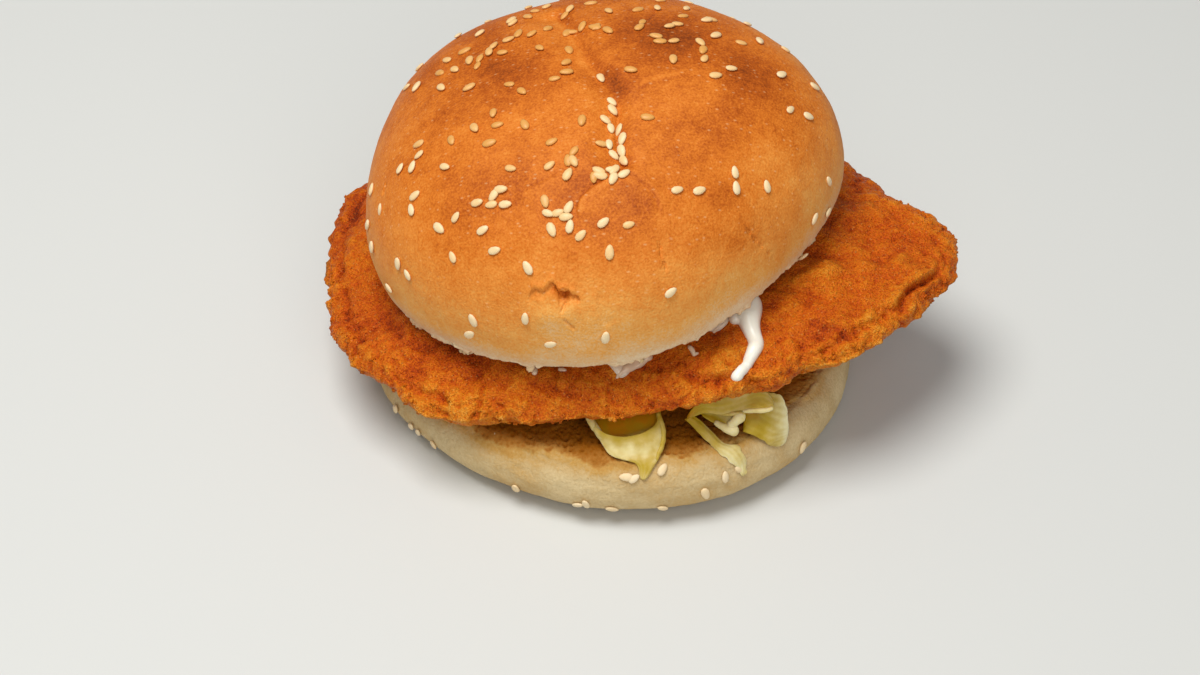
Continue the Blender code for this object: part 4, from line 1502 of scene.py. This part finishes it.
# %% Lettuce material
# The last stops are the warm brown of leaf deep in the pocket's shade: painted shade.
LEAF_STOPS = ((0, "#eaddac"), (0.2, "#dac888"), (0.4, "#c4a956"), (0.55, "#b89b30"), (0.7, "#ac8c18"),
              (0.85, "#b4860c"), (1, "#c07e08"))
leaf_green, tree, shader = new_material("iceberg_lettuce_leaf", Roughness=0.42, IOR=1.4,
                                        Specular_IOR_Level=0.3, Subsurface_Weight=0.15, Subsurface_Scale=MM)
shader.inputs["Subsurface Radius"].default_value = (1, 0.9, 0.3)
place = add_node(tree, "ShaderNodeTexCoord").outputs["Object"]
cloud = add_node(tree, "ShaderNodeTexNoise", {"Vector": place, "Scale": pattern(2.2), "Detail": 3.0})
greened_and_shaded = toned(tree, "green_and_shade", LEAF_STOPS, (cloud, -0.2, 0.2))
set_inputs(tree, shader, {"Base Color": greened_and_shaded, "Normal": raised(tree, (cloud, 0.35, 0.5))})

# %% [markdown]
# ### Leaves that show at the front
# Two tufts hang out over the bottom bun. The left one is a pocket, a fold of leaf seen into, with a white
# ribbed front. The right one is a fan with a strip over it, a curled heart piece and a long shred.

# %% Shapes of the two tufts
def bowed(start, middle, end, steps=7):
    """Points across a bag of leaf: half an ellipse through three places."""
    start, middle, end = np.array([start, middle, end])
    swing = np.linspace(-math.pi / 2, math.pi / 2, steps)[:, None]
    part = (1 + np.sin(swing)) / 2
    return start + part * (end - start) + np.cos(swing) * (middle - (start + end) / 2)


# Lines across each leaf in mm, from its hidden end to its tip, and how green it is along the way, with
# painted shade where it lies under the fillet or in the pocket. The pocket's lines are bowed.
POCKET = {
    # The pocket's front is painted darker than the white rib: painted shade where little light reaches it.
    "front": dict(ribs=5, ruffle=0.12, greens_and_shade=(0.6, 0.38, 0.3, 0.28, 0.32, 0.4, 0.44, 0.38, 0.3), rows=(
        ((-5.2, -48.9, 24.6), (2.2, -53.2, 22.3), (10.9, -48.7, 24.8)),
        ((-6, -48.6, 23.5), (2.4, -53.9, 21.4), (11.6, -49.3, 23.8)),
        ((-4.7, -49.9, 21.8), (2.9, -55, 20.1), (11.9, -51, 22)),
        ((-3.3, -51.9, 20.1), (3.3, -56.2, 19.1), (11.7, -53.2, 19.8)),
        ((-1.9, -54.4, 18.9), (4, -57.4, 18.5), (10.9, -55.7, 18.6)),
        ((0.7, -56.4, 18.4), (5.4, -57.8, 18.2), (10.2, -57.5, 18)),
        ((4, -56.9, 18.1), (6.8, -58.6, 17.6), (9.3, -58.3, 17.3)),
        ((5.7, -58.4, 17.1), (7.1, -59.7, 16.6), (8.5, -59.3, 16.5)),
        ((6.1, -60.5, 15.3), (6.7, -61.1, 15.1), (7.3, -60.7, 15.3)))),
    # The back sheet inside the pocket takes the last, warm brown stops: painted shade in the hollow.
    "back": dict(ribs=4, ruffle=0.1, greens_and_shade=(1, 0.98, 0.95, 0.85), rows=(
        ((-7.5, -44.5, 24), (2, -45.6, 22.6), (12.5, -43.5, 26)),
        ((-5.5, -47.2, 23.6), (2.4, -48.6, 21.6), (11.6, -46.4, 25)),
        ((-4.4, -49.2, 22.8), (2.6, -50.8, 20.8), (10.8, -48.6, 23.8)),
        ((-3, -51, 21.4), (2.8, -52.6, 19.8), (9.8, -50.4, 21.8)))),
}

# %% Shapes of the fan and what lies with it
FAN = {
    # Darker toward its hidden end on the left: painted shade under the fillet.
    "upper_strip": dict(ribs=3, ruffle=0.12, greens_and_shade=(0.85, 0.74, 0.64, 0.58, 0.54, 0.5, 0.42), rows=(
        ((18, -48.2, 24.8), (17.8, -48.8, 24.4), (17.6, -49.5, 24)),
        ((21, -47.1, 28.2), (21.5, -47.4, 26.4), (22, -47.9, 24.8)),
        ((26.4, -46.1, 29.2), (26.4, -47.4, 27), (26.2, -48.6, 25)),
        ((32.1, -44.9, 30), (32.1, -46.6, 27.6), (31.8, -48.2, 25.8)),
        ((36.3, -45, 30), (36.5, -46.8, 27.6), (36.2, -48.6, 26)),
        ((38.3, -45.9, 28.4), (38.5, -47.6, 27.2), (37.7, -49, 26.3)),
        ((39.1, -47, 27.2), (39.2, -47.6, 27), (38.9, -48.2, 26.8)))),
    "fan": dict(ribs=7, ruffle=0.3, ragged=0.8, greens_and_shade=(0.85, 0.8, 0.7, 0.5, 0.2, -0.05), rows=(
        ((32.2, -44.6, 26.5), (32, -46.8, 22.6), (31.7, -49.8, 19.9)),
        ((35.2, -43.8, 27.4), (35.2, -47.3, 23), (34.6, -50.4, 18.9)),
        ((38.2, -43.4, 27.6), (38.7, -47, 22.8), (37.7, -50.4, 16.4)),
        ((40.4, -43.7, 26.8), (41.2, -46.4, 21.8), (40.4, -50, 14.6)),
        ((41.9, -44.4, 25.2), (42.6, -46, 20.8), (42.3, -48.6, 14.2)),
        ((42.6, -45.4, 23), (43.2, -46.4, 18.8), (43.4, -47, 14.9)))),
    "heart_leaf": dict(ribs=2, ruffle=0.1, greens_and_shade=(0.7, 0.6, 0.42, 0.25), rows=(
        ((20.8, -46.2, 24.5), (21.2, -46.8, 23.6), (21.8, -47.6, 23.2)),
        ((24, -46.4, 25.2), (23.8, -47, 23.4), (24.2, -48.9, 22.4)),
        ((27.2, -46.8, 25.8), (26.8, -47.4, 23.2), (27.2, -50.4, 21.8)),
        ((30.6, -47.6, 26), (30, -48.2, 23.6), (30.2, -51.2, 21.4)))),
    "shred": dict(ribs=3, ruffle=0.2, ragged=0.5, greens_and_shade=(0.85, 0.75, 0.6, 0.5, 0.36, 0.24, 0.2, 0.25), rows=(
        ((17.2, -48.9, 23.8), (18.3, -48.7, 24.2), (19.6, -48, 24)),
        ((19.4, -49.8, 21.6), (20.4, -49.6, 22.4), (21.7, -48.5, 22.2)),
        ((21.8, -51.2, 19.4), (22.9, -50.8, 20.2), (24.1, -49.6, 19.8)),
        ((24.4, -53.4, 18.2), (25.4, -53, 18.8), (26.5, -51.8, 18.3)),
        ((26.6, -55, 17), (28, -54.2, 17.9), (29.8, -52.4, 17.7)),
        ((28.6, -56, 15.2), (30.3, -55.2, 16), (32, -53.8, 15.8)),
        ((30.4, -56.4, 13), (31.4, -56, 13.6), (32.4, -55.2, 13.4)),
        ((31.2, -56.8, 11.2), (31.6, -56.8, 11.4), (32, -56.5, 11.5)))),
}

# %% Stalks
# Thick parts: a stalk's line, with its half width at each corner, and how green it is.
STALKS = (
    (((-7.2, -46.4, 24.8, 1), (-6.1, -49, 23.9, 1), (-4.6, -50.4, 22, 1), (-3, -52.2, 20.7, 0.9),
      (-1.2, -53.5, 20.2, 0.75), (0.4, -54.1, 20.1, 0.3)), 0.3),
    (((10.6, -47.6, 25.2, 0.5), (11.3, -49.8, 23.6, 0.7), (11.9, -51.6, 21.6, 0.75), (11.5, -53.8, 19.8, 0.7),
      (10.6, -56, 18.7, 0.6), (9.9, -57.6, 17.9, 0.4)), 0.5),
    (((24.6, -48.8, 22.6, 0.5), (26.2, -49.8, 22.1, 0.8), (28, -50.5, 21.7, 1.1), (29.7, -51, 21.4, 1.35),
      (30.6, -51.2, 21.3, 1.35)), 0.14),
    (((28, -50.4, 22, 1), (29.1, -49.9, 23, 1.05), (30.3, -49.4, 24, 1.2), (31.6, -49, 24.6, 1.35),
      (32.2, -48.9, 24.7, 1.3)), 0.14),
    (((24.8, -48, 24.9, 0.25), (27, -48.4, 24.9, 0.4), (29.2, -48.6, 25.1, 0.55), (31, -48.7, 25.2, 0.7),
      (32.2, -48.8, 25, 0.8)), 0.4),
    (((31.4, -48.4, 25.7, 0.3), (34, -48.6, 26, 0.5), (36.2, -48.8, 26.3, 0.65), (38, -48.8, 26.7, 0.6),
      (38.8, -48.2, 27, 0.4)), 0.16),
)


# %% One leaf
def leaf(seed, rows, greens_and_shade, ribs, ruffle, ragged=0.2, thickness=0.4, long=56, wide=44):
    """Points, faces and greenness with painted shade of one leaf, whose values run from hidden end to tip."""
    grid = sheet_grid(rows, long, wide)
    along = np.linspace(0, 1, long)[:, None]
    across = np.linspace(-1, 1, wide)[None, :]
    smooth = grid.reshape(-1, 3)
    wander = bumps(smooth, 6, seed).reshape(long, wide)
    wave = bumps(smooth, 2.6, seed + 1).reshape(long, wide)
    rib = np.cos(math.pi * ribs * (across + 0.5 * wander * (0.3 + along)))
    rise = 0.02 * rib + ruffle * (0.6 * wander + (0.4 + across ** 2) * wave)
    grid = grid + grid_normals(grid) * rise[:, :, None]
    sideways = np.gradient(grid, axis=1)
    sideways /= np.linalg.norm(sideways, axis=2, keepdims=True)
    tear = ragged * bumps(smooth, 1.5, seed + 2).reshape(long, wide)
    tear = tear * across ** 6 * np.sign(across) * ease(along, 0.2, 0.5)
    grid = grid + sideways * tear[:, :, None]
    grid = rested(grid.reshape(-1, 3), REST_GAP + thickness / 2).reshape(grid.shape)
    points, faces = thick_sheet(grid, thickness)
    tone = np.interp(along, np.linspace(0, 1, len(greens_and_shade)), greens_and_shade) + 0.16 * wander + 0.1 * wave
    tone = tone - 0.12 * abs(across) ** 4 - 0.04 * rib
    return points, faces, np.tile(tone.ravel(), 2)


# %% One stalk
def stalk(seed, corners, green_and_shade, rings=40, around=12):
    """Points, faces and greenness of a rounded stalk, whose corners end in its half width."""
    line = smooth_line([corner[:3] for corner in corners], rings)
    along, places = np.linspace(0, 1, rings), np.linspace(0, 1, len(corners))
    half = np.interp(along, places, [corner[3] for corner in corners])
    end = from_ends(rings) * np.linalg.norm(line[1] - line[0])
    half = half * np.sqrt(np.clip(1 - (1 - np.clip(end / half, 0, 1)) ** 2, 0.01, 1))  # rounds both ends
    ahead = np.gradient(line, axis=0)
    ahead /= np.linalg.norm(ahead, axis=1, keepdims=True)
    side = np.cross(ahead, (0, 0, 1))
    side /= np.linalg.norm(side, axis=1, keepdims=True)
    up = np.cross(side, ahead)
    swing = np.linspace(0, TURN, around, endpoint=False)[None, :, None]
    ring = side[:, None] * np.cos(swing) + up[:, None] * np.sin(swing)
    points = (line[:, None] + ring * half[:, None, None]).reshape(-1, 3)
    lumps = 0.14 * bumps(points, 1.8, seed) + 0.12 * bumps(points, 0.9, seed + 1)
    points += ring.reshape(-1, 3) * lumps[:, None]
    corner = np.arange(rings * around).reshape(rings, around)
    onward = np.roll(corner, -1, axis=1)
    sides = np.stack([corner[:-1], corner[1:], onward[1:], onward[:-1]], axis=-1).reshape(-1, 4)
    tips = np.array([line[0], line[-1]])
    first, last = len(points), len(points) + 1
    caps = [(first, one, second) for one, second in zip(corner[0], onward[0])]
    caps += [(last, second, one) for one, second in zip(corner[-1], onward[-1])]
    tone = green_and_shade + 0.05 * bumps(np.concatenate([points, tips]), 2.4, seed + 2)
    return np.concatenate([points, tips]), [*map(tuple, sides), *caps], tone


# %% Build the two tufts
def joined(name, parts, material):
    """One piece from several shapes, each with its points, faces and greenness with painted shade."""
    points, faces, tones = [], [], []
    for part_points, part_faces, tone in parts:
        start = sum(map(len, points))
        faces.extend([corner + start for corner in face] for face in part_faces)
        points.append(part_points)
        tones.append(tone)
    piece = make_piece(name, np.concatenate(points), faces, material)
    paint(piece, "green_and_shade", np.concatenate(tones))
    report_size(piece)
    return piece


bags = [{**shape, "rows": [bowed(*row) for row in shape["rows"]]} for shape in POCKET.values()]
parts = [leaf(300 + 10 * k, **shape) for k, shape in enumerate((*bags, *FAN.values()))]
parts += [stalk(400 + 10 * k, *shape) for k, shape in enumerate(STALKS)]
front_leaves = joined("lettuce_front_leaves", parts, leaf_green)
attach(front_leaves, "root")

# %% [markdown]
# ### The lettuce inside
# Under the fillet only the edges of the heap show. A lumpy core fills its middle, and shreds stick out all
# round it.

# %% Core of the heap
CORE_SHARE = (0.84, 0.84, 0.9)  # of the heap's size, each way
CORE_FRONT = 0.66  # how much shallower the front half is
CORE_LUMP = 0.8  # mm

heap = node_points("lettuce")
heap_middle = (heap.max(axis=0) + heap.min(axis=0)) / 2
from_middle = (heap - heap_middle) * CORE_SHARE
from_middle[:, 1] *= np.where(from_middle[:, 1] < 0, CORE_FRONT, 1)
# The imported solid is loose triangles, so points in one place are merged before they are moved.
core_points, merged = np.unique(np.round(heap_middle + from_middle, 3), axis=0, return_inverse=True)
merged = merged.ravel()
core_faces = [merged[list(face.vertices)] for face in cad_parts["lettuce"].data.polygons]
lettuce_core = make_piece("lettuce_core", core_points, core_faces, leaf_green)
for _ in range(2):
    refine(lettuce_core, lambda middles: np.full(len(middles), True))
points = mesh_points(lettuce_core)
layers = bumps(points * (1, 1, 3), 4, 44)
lumps = bumps(points, 5, 41) - 0.8 + 0.5 * bumps(points, 2.2, 42) + 0.8 * layers
push_out(lettuce_core, CORE_LUMP * lumps)
paint(lettuce_core, "green_and_shade", 0.6 + 0.2 * bumps(mesh_points(lettuce_core), 4, 43) + 0.25 * layers)
report_size(lettuce_core)
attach(lettuce_core, "root")
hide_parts("lettuce")

# %% [markdown]
# Shreds 2 to 5 mm wide leave the heap round its sides and back, sag onto the toasted face and curl.

# %% Lines across one shred
SHREDS = 66
SHRED_FROM, SHRED_ARC = 322, 268  # degrees: the front is left to the leaves listed above
SHRED_REACH = (0.7, 0.84, 0.96, 1.06, 1.13)  # of the way out to the heap's edge, for each line
SHRED_GREENS_AND_SHADE = (0.5, 0.45, 0.35, 0.3, 0.2)  # at each line
SHRED_TOP = 23.5  # height in mm of the hidden end of the lowest shreds
heap_outline = outline_of(heap, heap_middle[:2])


def shred_rows(k):
    """Lines across one shred, from inside the heap to its tip."""
    luck = [chances[(k * 7 + i * 31) % 400] for i in range(6)]
    bearing = math.radians(SHRED_FROM + SHRED_ARC * (k + 0.8 * luck[0]) / SHREDS)
    out = np.array([math.cos(bearing), math.sin(bearing)])
    aside = np.array([-math.sin(bearing), math.cos(bearing)])
    edge = radius_at(heap_outline, bearing)
    half = 1.1 + 1.4 * luck[1]
    twist = 1.8 * (luck[2] - 0.5)
    rows = []
    for i, reach in enumerate(SHRED_REACH):
        sway = 3 * (luck[3] - 0.5) * i / 2
        middle = heap_middle[:2] + out * edge * (reach - 0.12 * luck[4]) + aside * sway
        height = SHRED_TOP + 2.5 * luck[5] - 1.1 * i
        tilt = twist * (0.4 + 0.3 * i)
        width = half * (0.5 if reach == SHRED_REACH[-1] else 1)
        across, rise = aside * width * math.cos(tilt), width * math.sin(tilt)
        rows.append(tuple((*(middle + across * side), height + rise * side) for side in (-1, 0, 1)))
    return rows


# %% Shreds round the heap
parts = []
for k in range(SHREDS):
    greens_and_shade = np.array(SHRED_GREENS_AND_SHADE) + 0.4 * (chances[k + 200] - 0.5)
    parts.append(leaf(500 + 10 * k, shred_rows(k), greens_and_shade, 2, 0.25, thickness=0.5, long=26, wide=9))
lettuce_shreds = joined("lettuce_shreds", parts, leaf_green)
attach(lettuce_shreds, "root")

# %% [markdown]
# ## Mayonnaise
# A spoonful pressed flat between the fillet and the top bun. Its edge shows, one thick run down over the
# fillet, and small strings. The layer is a disc that follows the fillet. The runs are metaballs, because
# they melt into each other as a thick sauce does.
#
# Egg mayonnaise is cream-white, glossy where it is wet, and a little see-through where it is thin, so a
# painted number turns its thin edges to the colour of what lies under them.

# %% Mayonnaise material
SAUCE_STOPS = ((0, "#ece7d8"), (1, "#dfbfa0"))
mayonnaise, tree, shader = new_material("egg_mayonnaise", Roughness=0.24, IOR=1.46,
                                        Subsurface_Weight=0.2, Subsurface_Scale=2 * MM)
shader.inputs["Subsurface Radius"].default_value = (1, 0.9, 0.7)
set_inputs(tree, shader, {"Base Color": toned(tree, "thin", SAUCE_STOPS)})

# %% Edge of the layer
LAYER_MIDDLE = (0, 4)
LAYER_RADIUS = 45.0
LAYER_GRID = 110
LAYER_SPARE = 3.0  # mm between its edge and the fillet's, at least
# Where it was squeezed out farther: bearing, half width in degrees and length in mm.
LAYER_LOBES = ((272, 5, 6), (262, 3, 2.4), (207, 4, 2.2), (305, 5, 3), (20, 8, 3), (110, 9, 3.5))

reach, bearing, layer_faces, layer_rim = disc_grid(LAYER_GRID)
radius = LAYER_RADIUS + 1.6 * bumps(polar(20 + 0 * bearing, bearing, 0), 9, 51)
for lobe, half_width, length in LAYER_LOBES:
    radius += length * near_bearing(np.degrees(bearing), lobe, half_width)
edge_inset, _ = fillet_reach(polar(radius, bearing, 0) + (*LAYER_MIDDLE, 0))
radius += np.minimum(edge_inset - LAYER_SPARE, 0)
spread = polar(reach * radius, bearing, 0) + (*LAYER_MIDDLE, 0)
print("mayonnaise reaches", round(radius.min(), 1), "to", round(radius.max(), 1), "mm from its middle")

# %% The layer under the top bun
LAYER_THICK = 2.0  # mm in the middle
LAYER_THIN_EDGE = 6  # mm over which it gets see-through
LAYER_SUNK = 0.6  # mm that its underside lies in the coating
AROUND = ((0, 0), (0.5, 0), (-0.5, 0), (0, 0.5), (0, -0.5))  # mm, so that it clears small crests beside it

ground = np.nanmax([[height_of(coating_tree, x + across, y + along, -1) for x, y, _ in spread]
                    for across, along in AROUND], axis=0)
print("points of the layer beside the fillet:", int(np.isnan(ground).sum()))
thick = LAYER_THICK * (1 - reach ** 6) * (1 + 0.3 * bumps(spread, 7, 52))
spread[:, 2] = ground + thick + 0.25 * (reach < 1)
under_rings = [np.column_stack([spread[layer_rim, :2] * share + np.array(LAYER_MIDDLE) * (1 - share),
                                ground[layer_rim] - LAYER_SUNK]) for share in (0.97, 0.7, 0.4)]
under_middle = (*LAYER_MIDDLE, float(np.nanmean(ground)) - LAYER_SUNK)
layer = closed_below("mayonnaise_layer", spread, layer_faces, layer_rim, under_rings, under_middle,
                     mayonnaise)
from_centre = np.hypot(*(mesh_points(layer)[:, :2] - LAYER_MIDDLE).T)
paint(layer, "thin", 0.25 + 0.5 * ease(from_centre, LAYER_RADIUS - LAYER_THIN_EDGE, LAYER_RADIUS))
report_size(layer)
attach(layer, "root")
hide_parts("mayonnaise")

# %% [markdown]
# Each run is a row of balls along a line over the fillet, given as place and half width in mm. Small
# bubbles froth up where the thick run leaves the bun.

# %% Balls of the runs
RUNS = (
    ((33.5, -28.5, 3.2), (33.2, -31, 3), (33.4, -33.7, 2.4), (34.2, -37, 1.9), (34.8, -39.6, 1.9),
     (34, -42.2, 1.7), (32, -45.2, 1.4), (30.4, -47, 1.4), (29.6, -47.9, 1.55)),
    ((30.2, -30.5, 1.8), (29.8, -33, 1.3)),
    ((5.4, -41.2, 1.3), (3.2, -43, 1.1), (1.4, -44.6, 0.7), (0.6, -45.6, 0.4)),
    ((8.6, -40.9, 1), (5.8, -42.4, 0.8), (3.4, -43.6, 0.7)),
    ((7.6, -41, 1), (4.8, -42.8, 0.9), (2.4, -44.2, 0.7)),
    ((-19.6, -40.6, 0.7), (-19.5, -41.8, 0.6), (-19.6, -42.8, 0.7)),
    ((-13.4, -42.2, 0.5), (-12.6, -42.5, 0.6), (-12, -42.8, 0.4)),
    ((18.4, -40.4, 0.5), (19.2, -41.6, 0.6), (19.5, -42.6, 0.4)),
    ((20.4, -42, 0.35), (19.4, -42.4, 0.4)),
    ((25.2, -34.4, 0.6), (24.6, -35.4, 0.35)),
)
BUBBLES = 26
BUBBLE_CORNER, BUBBLE_SPREAD = (29.5, -28.5), 5.5  # mm: where they begin, and how far they go


def run_balls(run):
    """Balls close together along a run, each with its half width."""
    for x, y, half in smooth_line(run, 3 + 3 * len(run)):
        yield x, y, height_of(coating_tree, x, y, -1) + 0.1 * half, half


balls = [ball for run in RUNS for ball in run_balls(run)]
for k in range(BUBBLES):
    x = BUBBLE_CORNER[0] + BUBBLE_SPREAD * chances[k]
    y = BUBBLE_CORNER[1] - BUBBLE_SPREAD * chances[k + 30]
    z = height_of(coating_tree, x, y, -1) + 0.3 + 1.6 * chances[k + 60]
    balls.append((x, y, z, 0.35 + 0.4 * chances[k + 90]))
print(len(balls), "balls in", len(RUNS), "runs and the froth")

# %% Melt the runs together
BALL_SHARE = 0.575  # of a metaball's radius that shows when it stands alone
MELT_SHARE = 0.86  # each is smaller, as neighbours swell each other
MELT_STEP = 0.3  # mm between the points of the result

sauce = bpy.data.metaballs.new("mayonnaise_runs")
sauce.resolution = sauce.render_resolution = MELT_STEP
sauce.threshold = 0.6
for x, y, z, half in balls:
    ball = sauce.elements.new()
    ball.co = (x, y, z)
    ball.radius = half / BALL_SHARE * MELT_SHARE
    ball.stiffness = 2
sauce_object = add_object("mayonnaise_runs_balls", sauce)
depsgraph = bpy.context.evaluated_depsgraph_get()
melted = bpy.data.meshes.new_from_object(sauce_object.evaluated_get(depsgraph), depsgraph=depsgraph)
bpy.data.objects.remove(sauce_object, do_unlink=True)
points = np.array([tuple(vertex.co) for vertex in melted.vertices])
runs = make_piece("mayonnaise_runs", points, [face.vertices for face in melted.polygons], mayonnaise)
thick_run = np.array([(x, y) for x, y, half in RUNS[0]])
far = np.min(np.linalg.norm(points[:, None, :2] - thick_run[None], axis=2), axis=1)
paint(runs, "thin", 0.75 * ease(far, 3.5, 5.5) + 0.25 * ease(far, 1.5, 3.5))
report_size(runs)
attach(runs, "root")

# %% [markdown]
# ## Crumbs
# Torn bread shed cream crumbs, and the coating fried into loose golden grains. One tree makes them all: it
# spreads points as thickly as a painted number says, and puts a lumpy grain on each.

# %% Crumb tree: points, and one lumpy grain
CRUMB_LUMP = 2.4  # lumps across a grain one unit wide
crumb_tree, given = new_tree("crumbs", {"Density": 1e5, "Smallest": 0.3 * MM, "Largest": 1 * MM,
                                        "Lumps": 0.9, "Seed": 3})
wanted = add_node(crumb_tree, "GeometryNodeInputNamedAttribute", {"Name": "crumbs"}, data_type="FLOAT")
thickly = add_node(crumb_tree, "ShaderNodeMath", {0: wanted, 1: given["Density"]}, operation="MULTIPLY")
spots = add_node(crumb_tree, "GeometryNodeDistributePointsOnFaces",
                 {"Mesh": given["Geometry"], "Density": thickly, "Seed": given["Seed"]})
pebble = add_node(crumb_tree, "GeometryNodeMeshIcoSphere", {"Radius": 0.5, "Subdivisions": 2})
pebble_point = add_node(crumb_tree, "GeometryNodeInputPosition")
lumps = add_node(crumb_tree, "ShaderNodeTexNoise",
                 {"Vector": pebble_point, "Scale": CRUMB_LUMP, "Detail": 1.0})
shift = add_node(crumb_tree, "ShaderNodeVectorMath", {0: lumps.outputs["Color"], 1: (0.5, 0.5, 0.5)},
                 operation="SUBTRACT")
shift = add_node(crumb_tree, "ShaderNodeVectorMath", {0: shift, "Scale": given["Lumps"]}, operation="SCALE")
pebble = add_node(crumb_tree, "GeometryNodeSetPosition", {"Geometry": pebble, "Offset": shift})

# %% Crumb tree: a grain on each point
turns = add_node(crumb_tree, "FunctionNodeRandomValue", {1: (TURN, TURN, TURN), "Seed": given["Seed"]},
                 data_type="FLOAT_VECTOR")
tumbled = add_node(crumb_tree, "FunctionNodeEulerToRotation", {"Euler": turns})
size = add_node(crumb_tree, "FunctionNodeRandomValue",
                {2: given["Smallest"], 3: given["Largest"], "Seed": given["Seed"]}, data_type="FLOAT")
build = add_node(crumb_tree, "FunctionNodeRandomValue",
                 {0: (0.6, 0.6, 0.6), 1: (1.3, 1.3, 1.3), "Seed": given["Seed"]}, data_type="FLOAT_VECTOR")
sized = add_node(crumb_tree, "ShaderNodeVectorMath", {0: build, "Scale": size.outputs[1]}, operation="SCALE")
copies = add_node(crumb_tree, "GeometryNodeInstanceOnPoints",
                  {"Points": spots, "Instance": pebble, "Rotation": tumbled, "Scale": sized})
end_tree(crumb_tree, copies, given["Material"])


def crumbed(name, base, wanted, material, density, smallest, largest, lumps=0.9):
    """Crumbs over a piece, as thick as wanted (0 to 1); sizes in mm, density per m2."""
    mesh = base.data.copy()
    carrier = bpy.data.objects.new(name + "_base", mesh)
    paint(carrier, "crumbs", wanted)
    bpy.data.objects.remove(carrier, do_unlink=True)
    return grown(name, mesh, crumb_tree, {"Density": density, "Smallest": smallest * MM,
                                          "Largest": largest * MM, "Lumps": lumps, "Material": material})


# %% [markdown]
# Bread crumb is the pale, matt inside of the roll. It sticks to the torn rim of the top bun and lies along
# the lip of the bottom one.

# %% Bread crumbs
bread_crumb, _, _ = new_material("bread_crumb", Base_Color=colour("#d4bb8e"), Roughness=0.85, IOR=1.4)

points = to_crown(mesh_points(top_bun))
outermost = np.hypot(points[:, 0], points[:, 1]) > 48
wanted = bell(points[:, 2] + 0.1, 0.5) * outermost * (0.12 + ease(-points[:, 1], -10, 25))
wanted *= ease(bumps(points, 4, 61) + 0.5 * bumps(points, 1.5, 64), 0.0, 0.7)
rim_crumbs = crumbed("top_bun_rim_crumbs", top_bun, wanted, bread_crumb, 2.2e6, 0.3, 1.5)
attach(rim_crumbs, "root")

points = mesh_points(bottom_bun)
_, inside = heel_crumb(points)
wanted = bell(inside - 0.8, 0.9) * (points[:, 2] > 13) * ease(bumps(points, 6, 62), -0.2, 0.7)
lip_crumbs = crumbed("bottom_bun_lip_crumbs", bottom_bun, wanted, bread_crumb, 8e4, 0.3, 0.7)
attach(lip_crumbs, "root")

# %% [markdown]
# At its edge the coating broke up into loose grains, about a millimetre across, of its own material.

# %% Grains of coating
points = mesh_points(fillet)
wanted = ease(read_paint(fillet, "rim"), 0.75, 1.0) * ease(bumps(points, 4, 63), -0.2, 0.6)
coating_grains = crumbed("chicken_fillet_grains", fillet, wanted, fried, 2.2e5, 0.4, 1.3, lumps=1.0)
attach(coating_grains, "root")
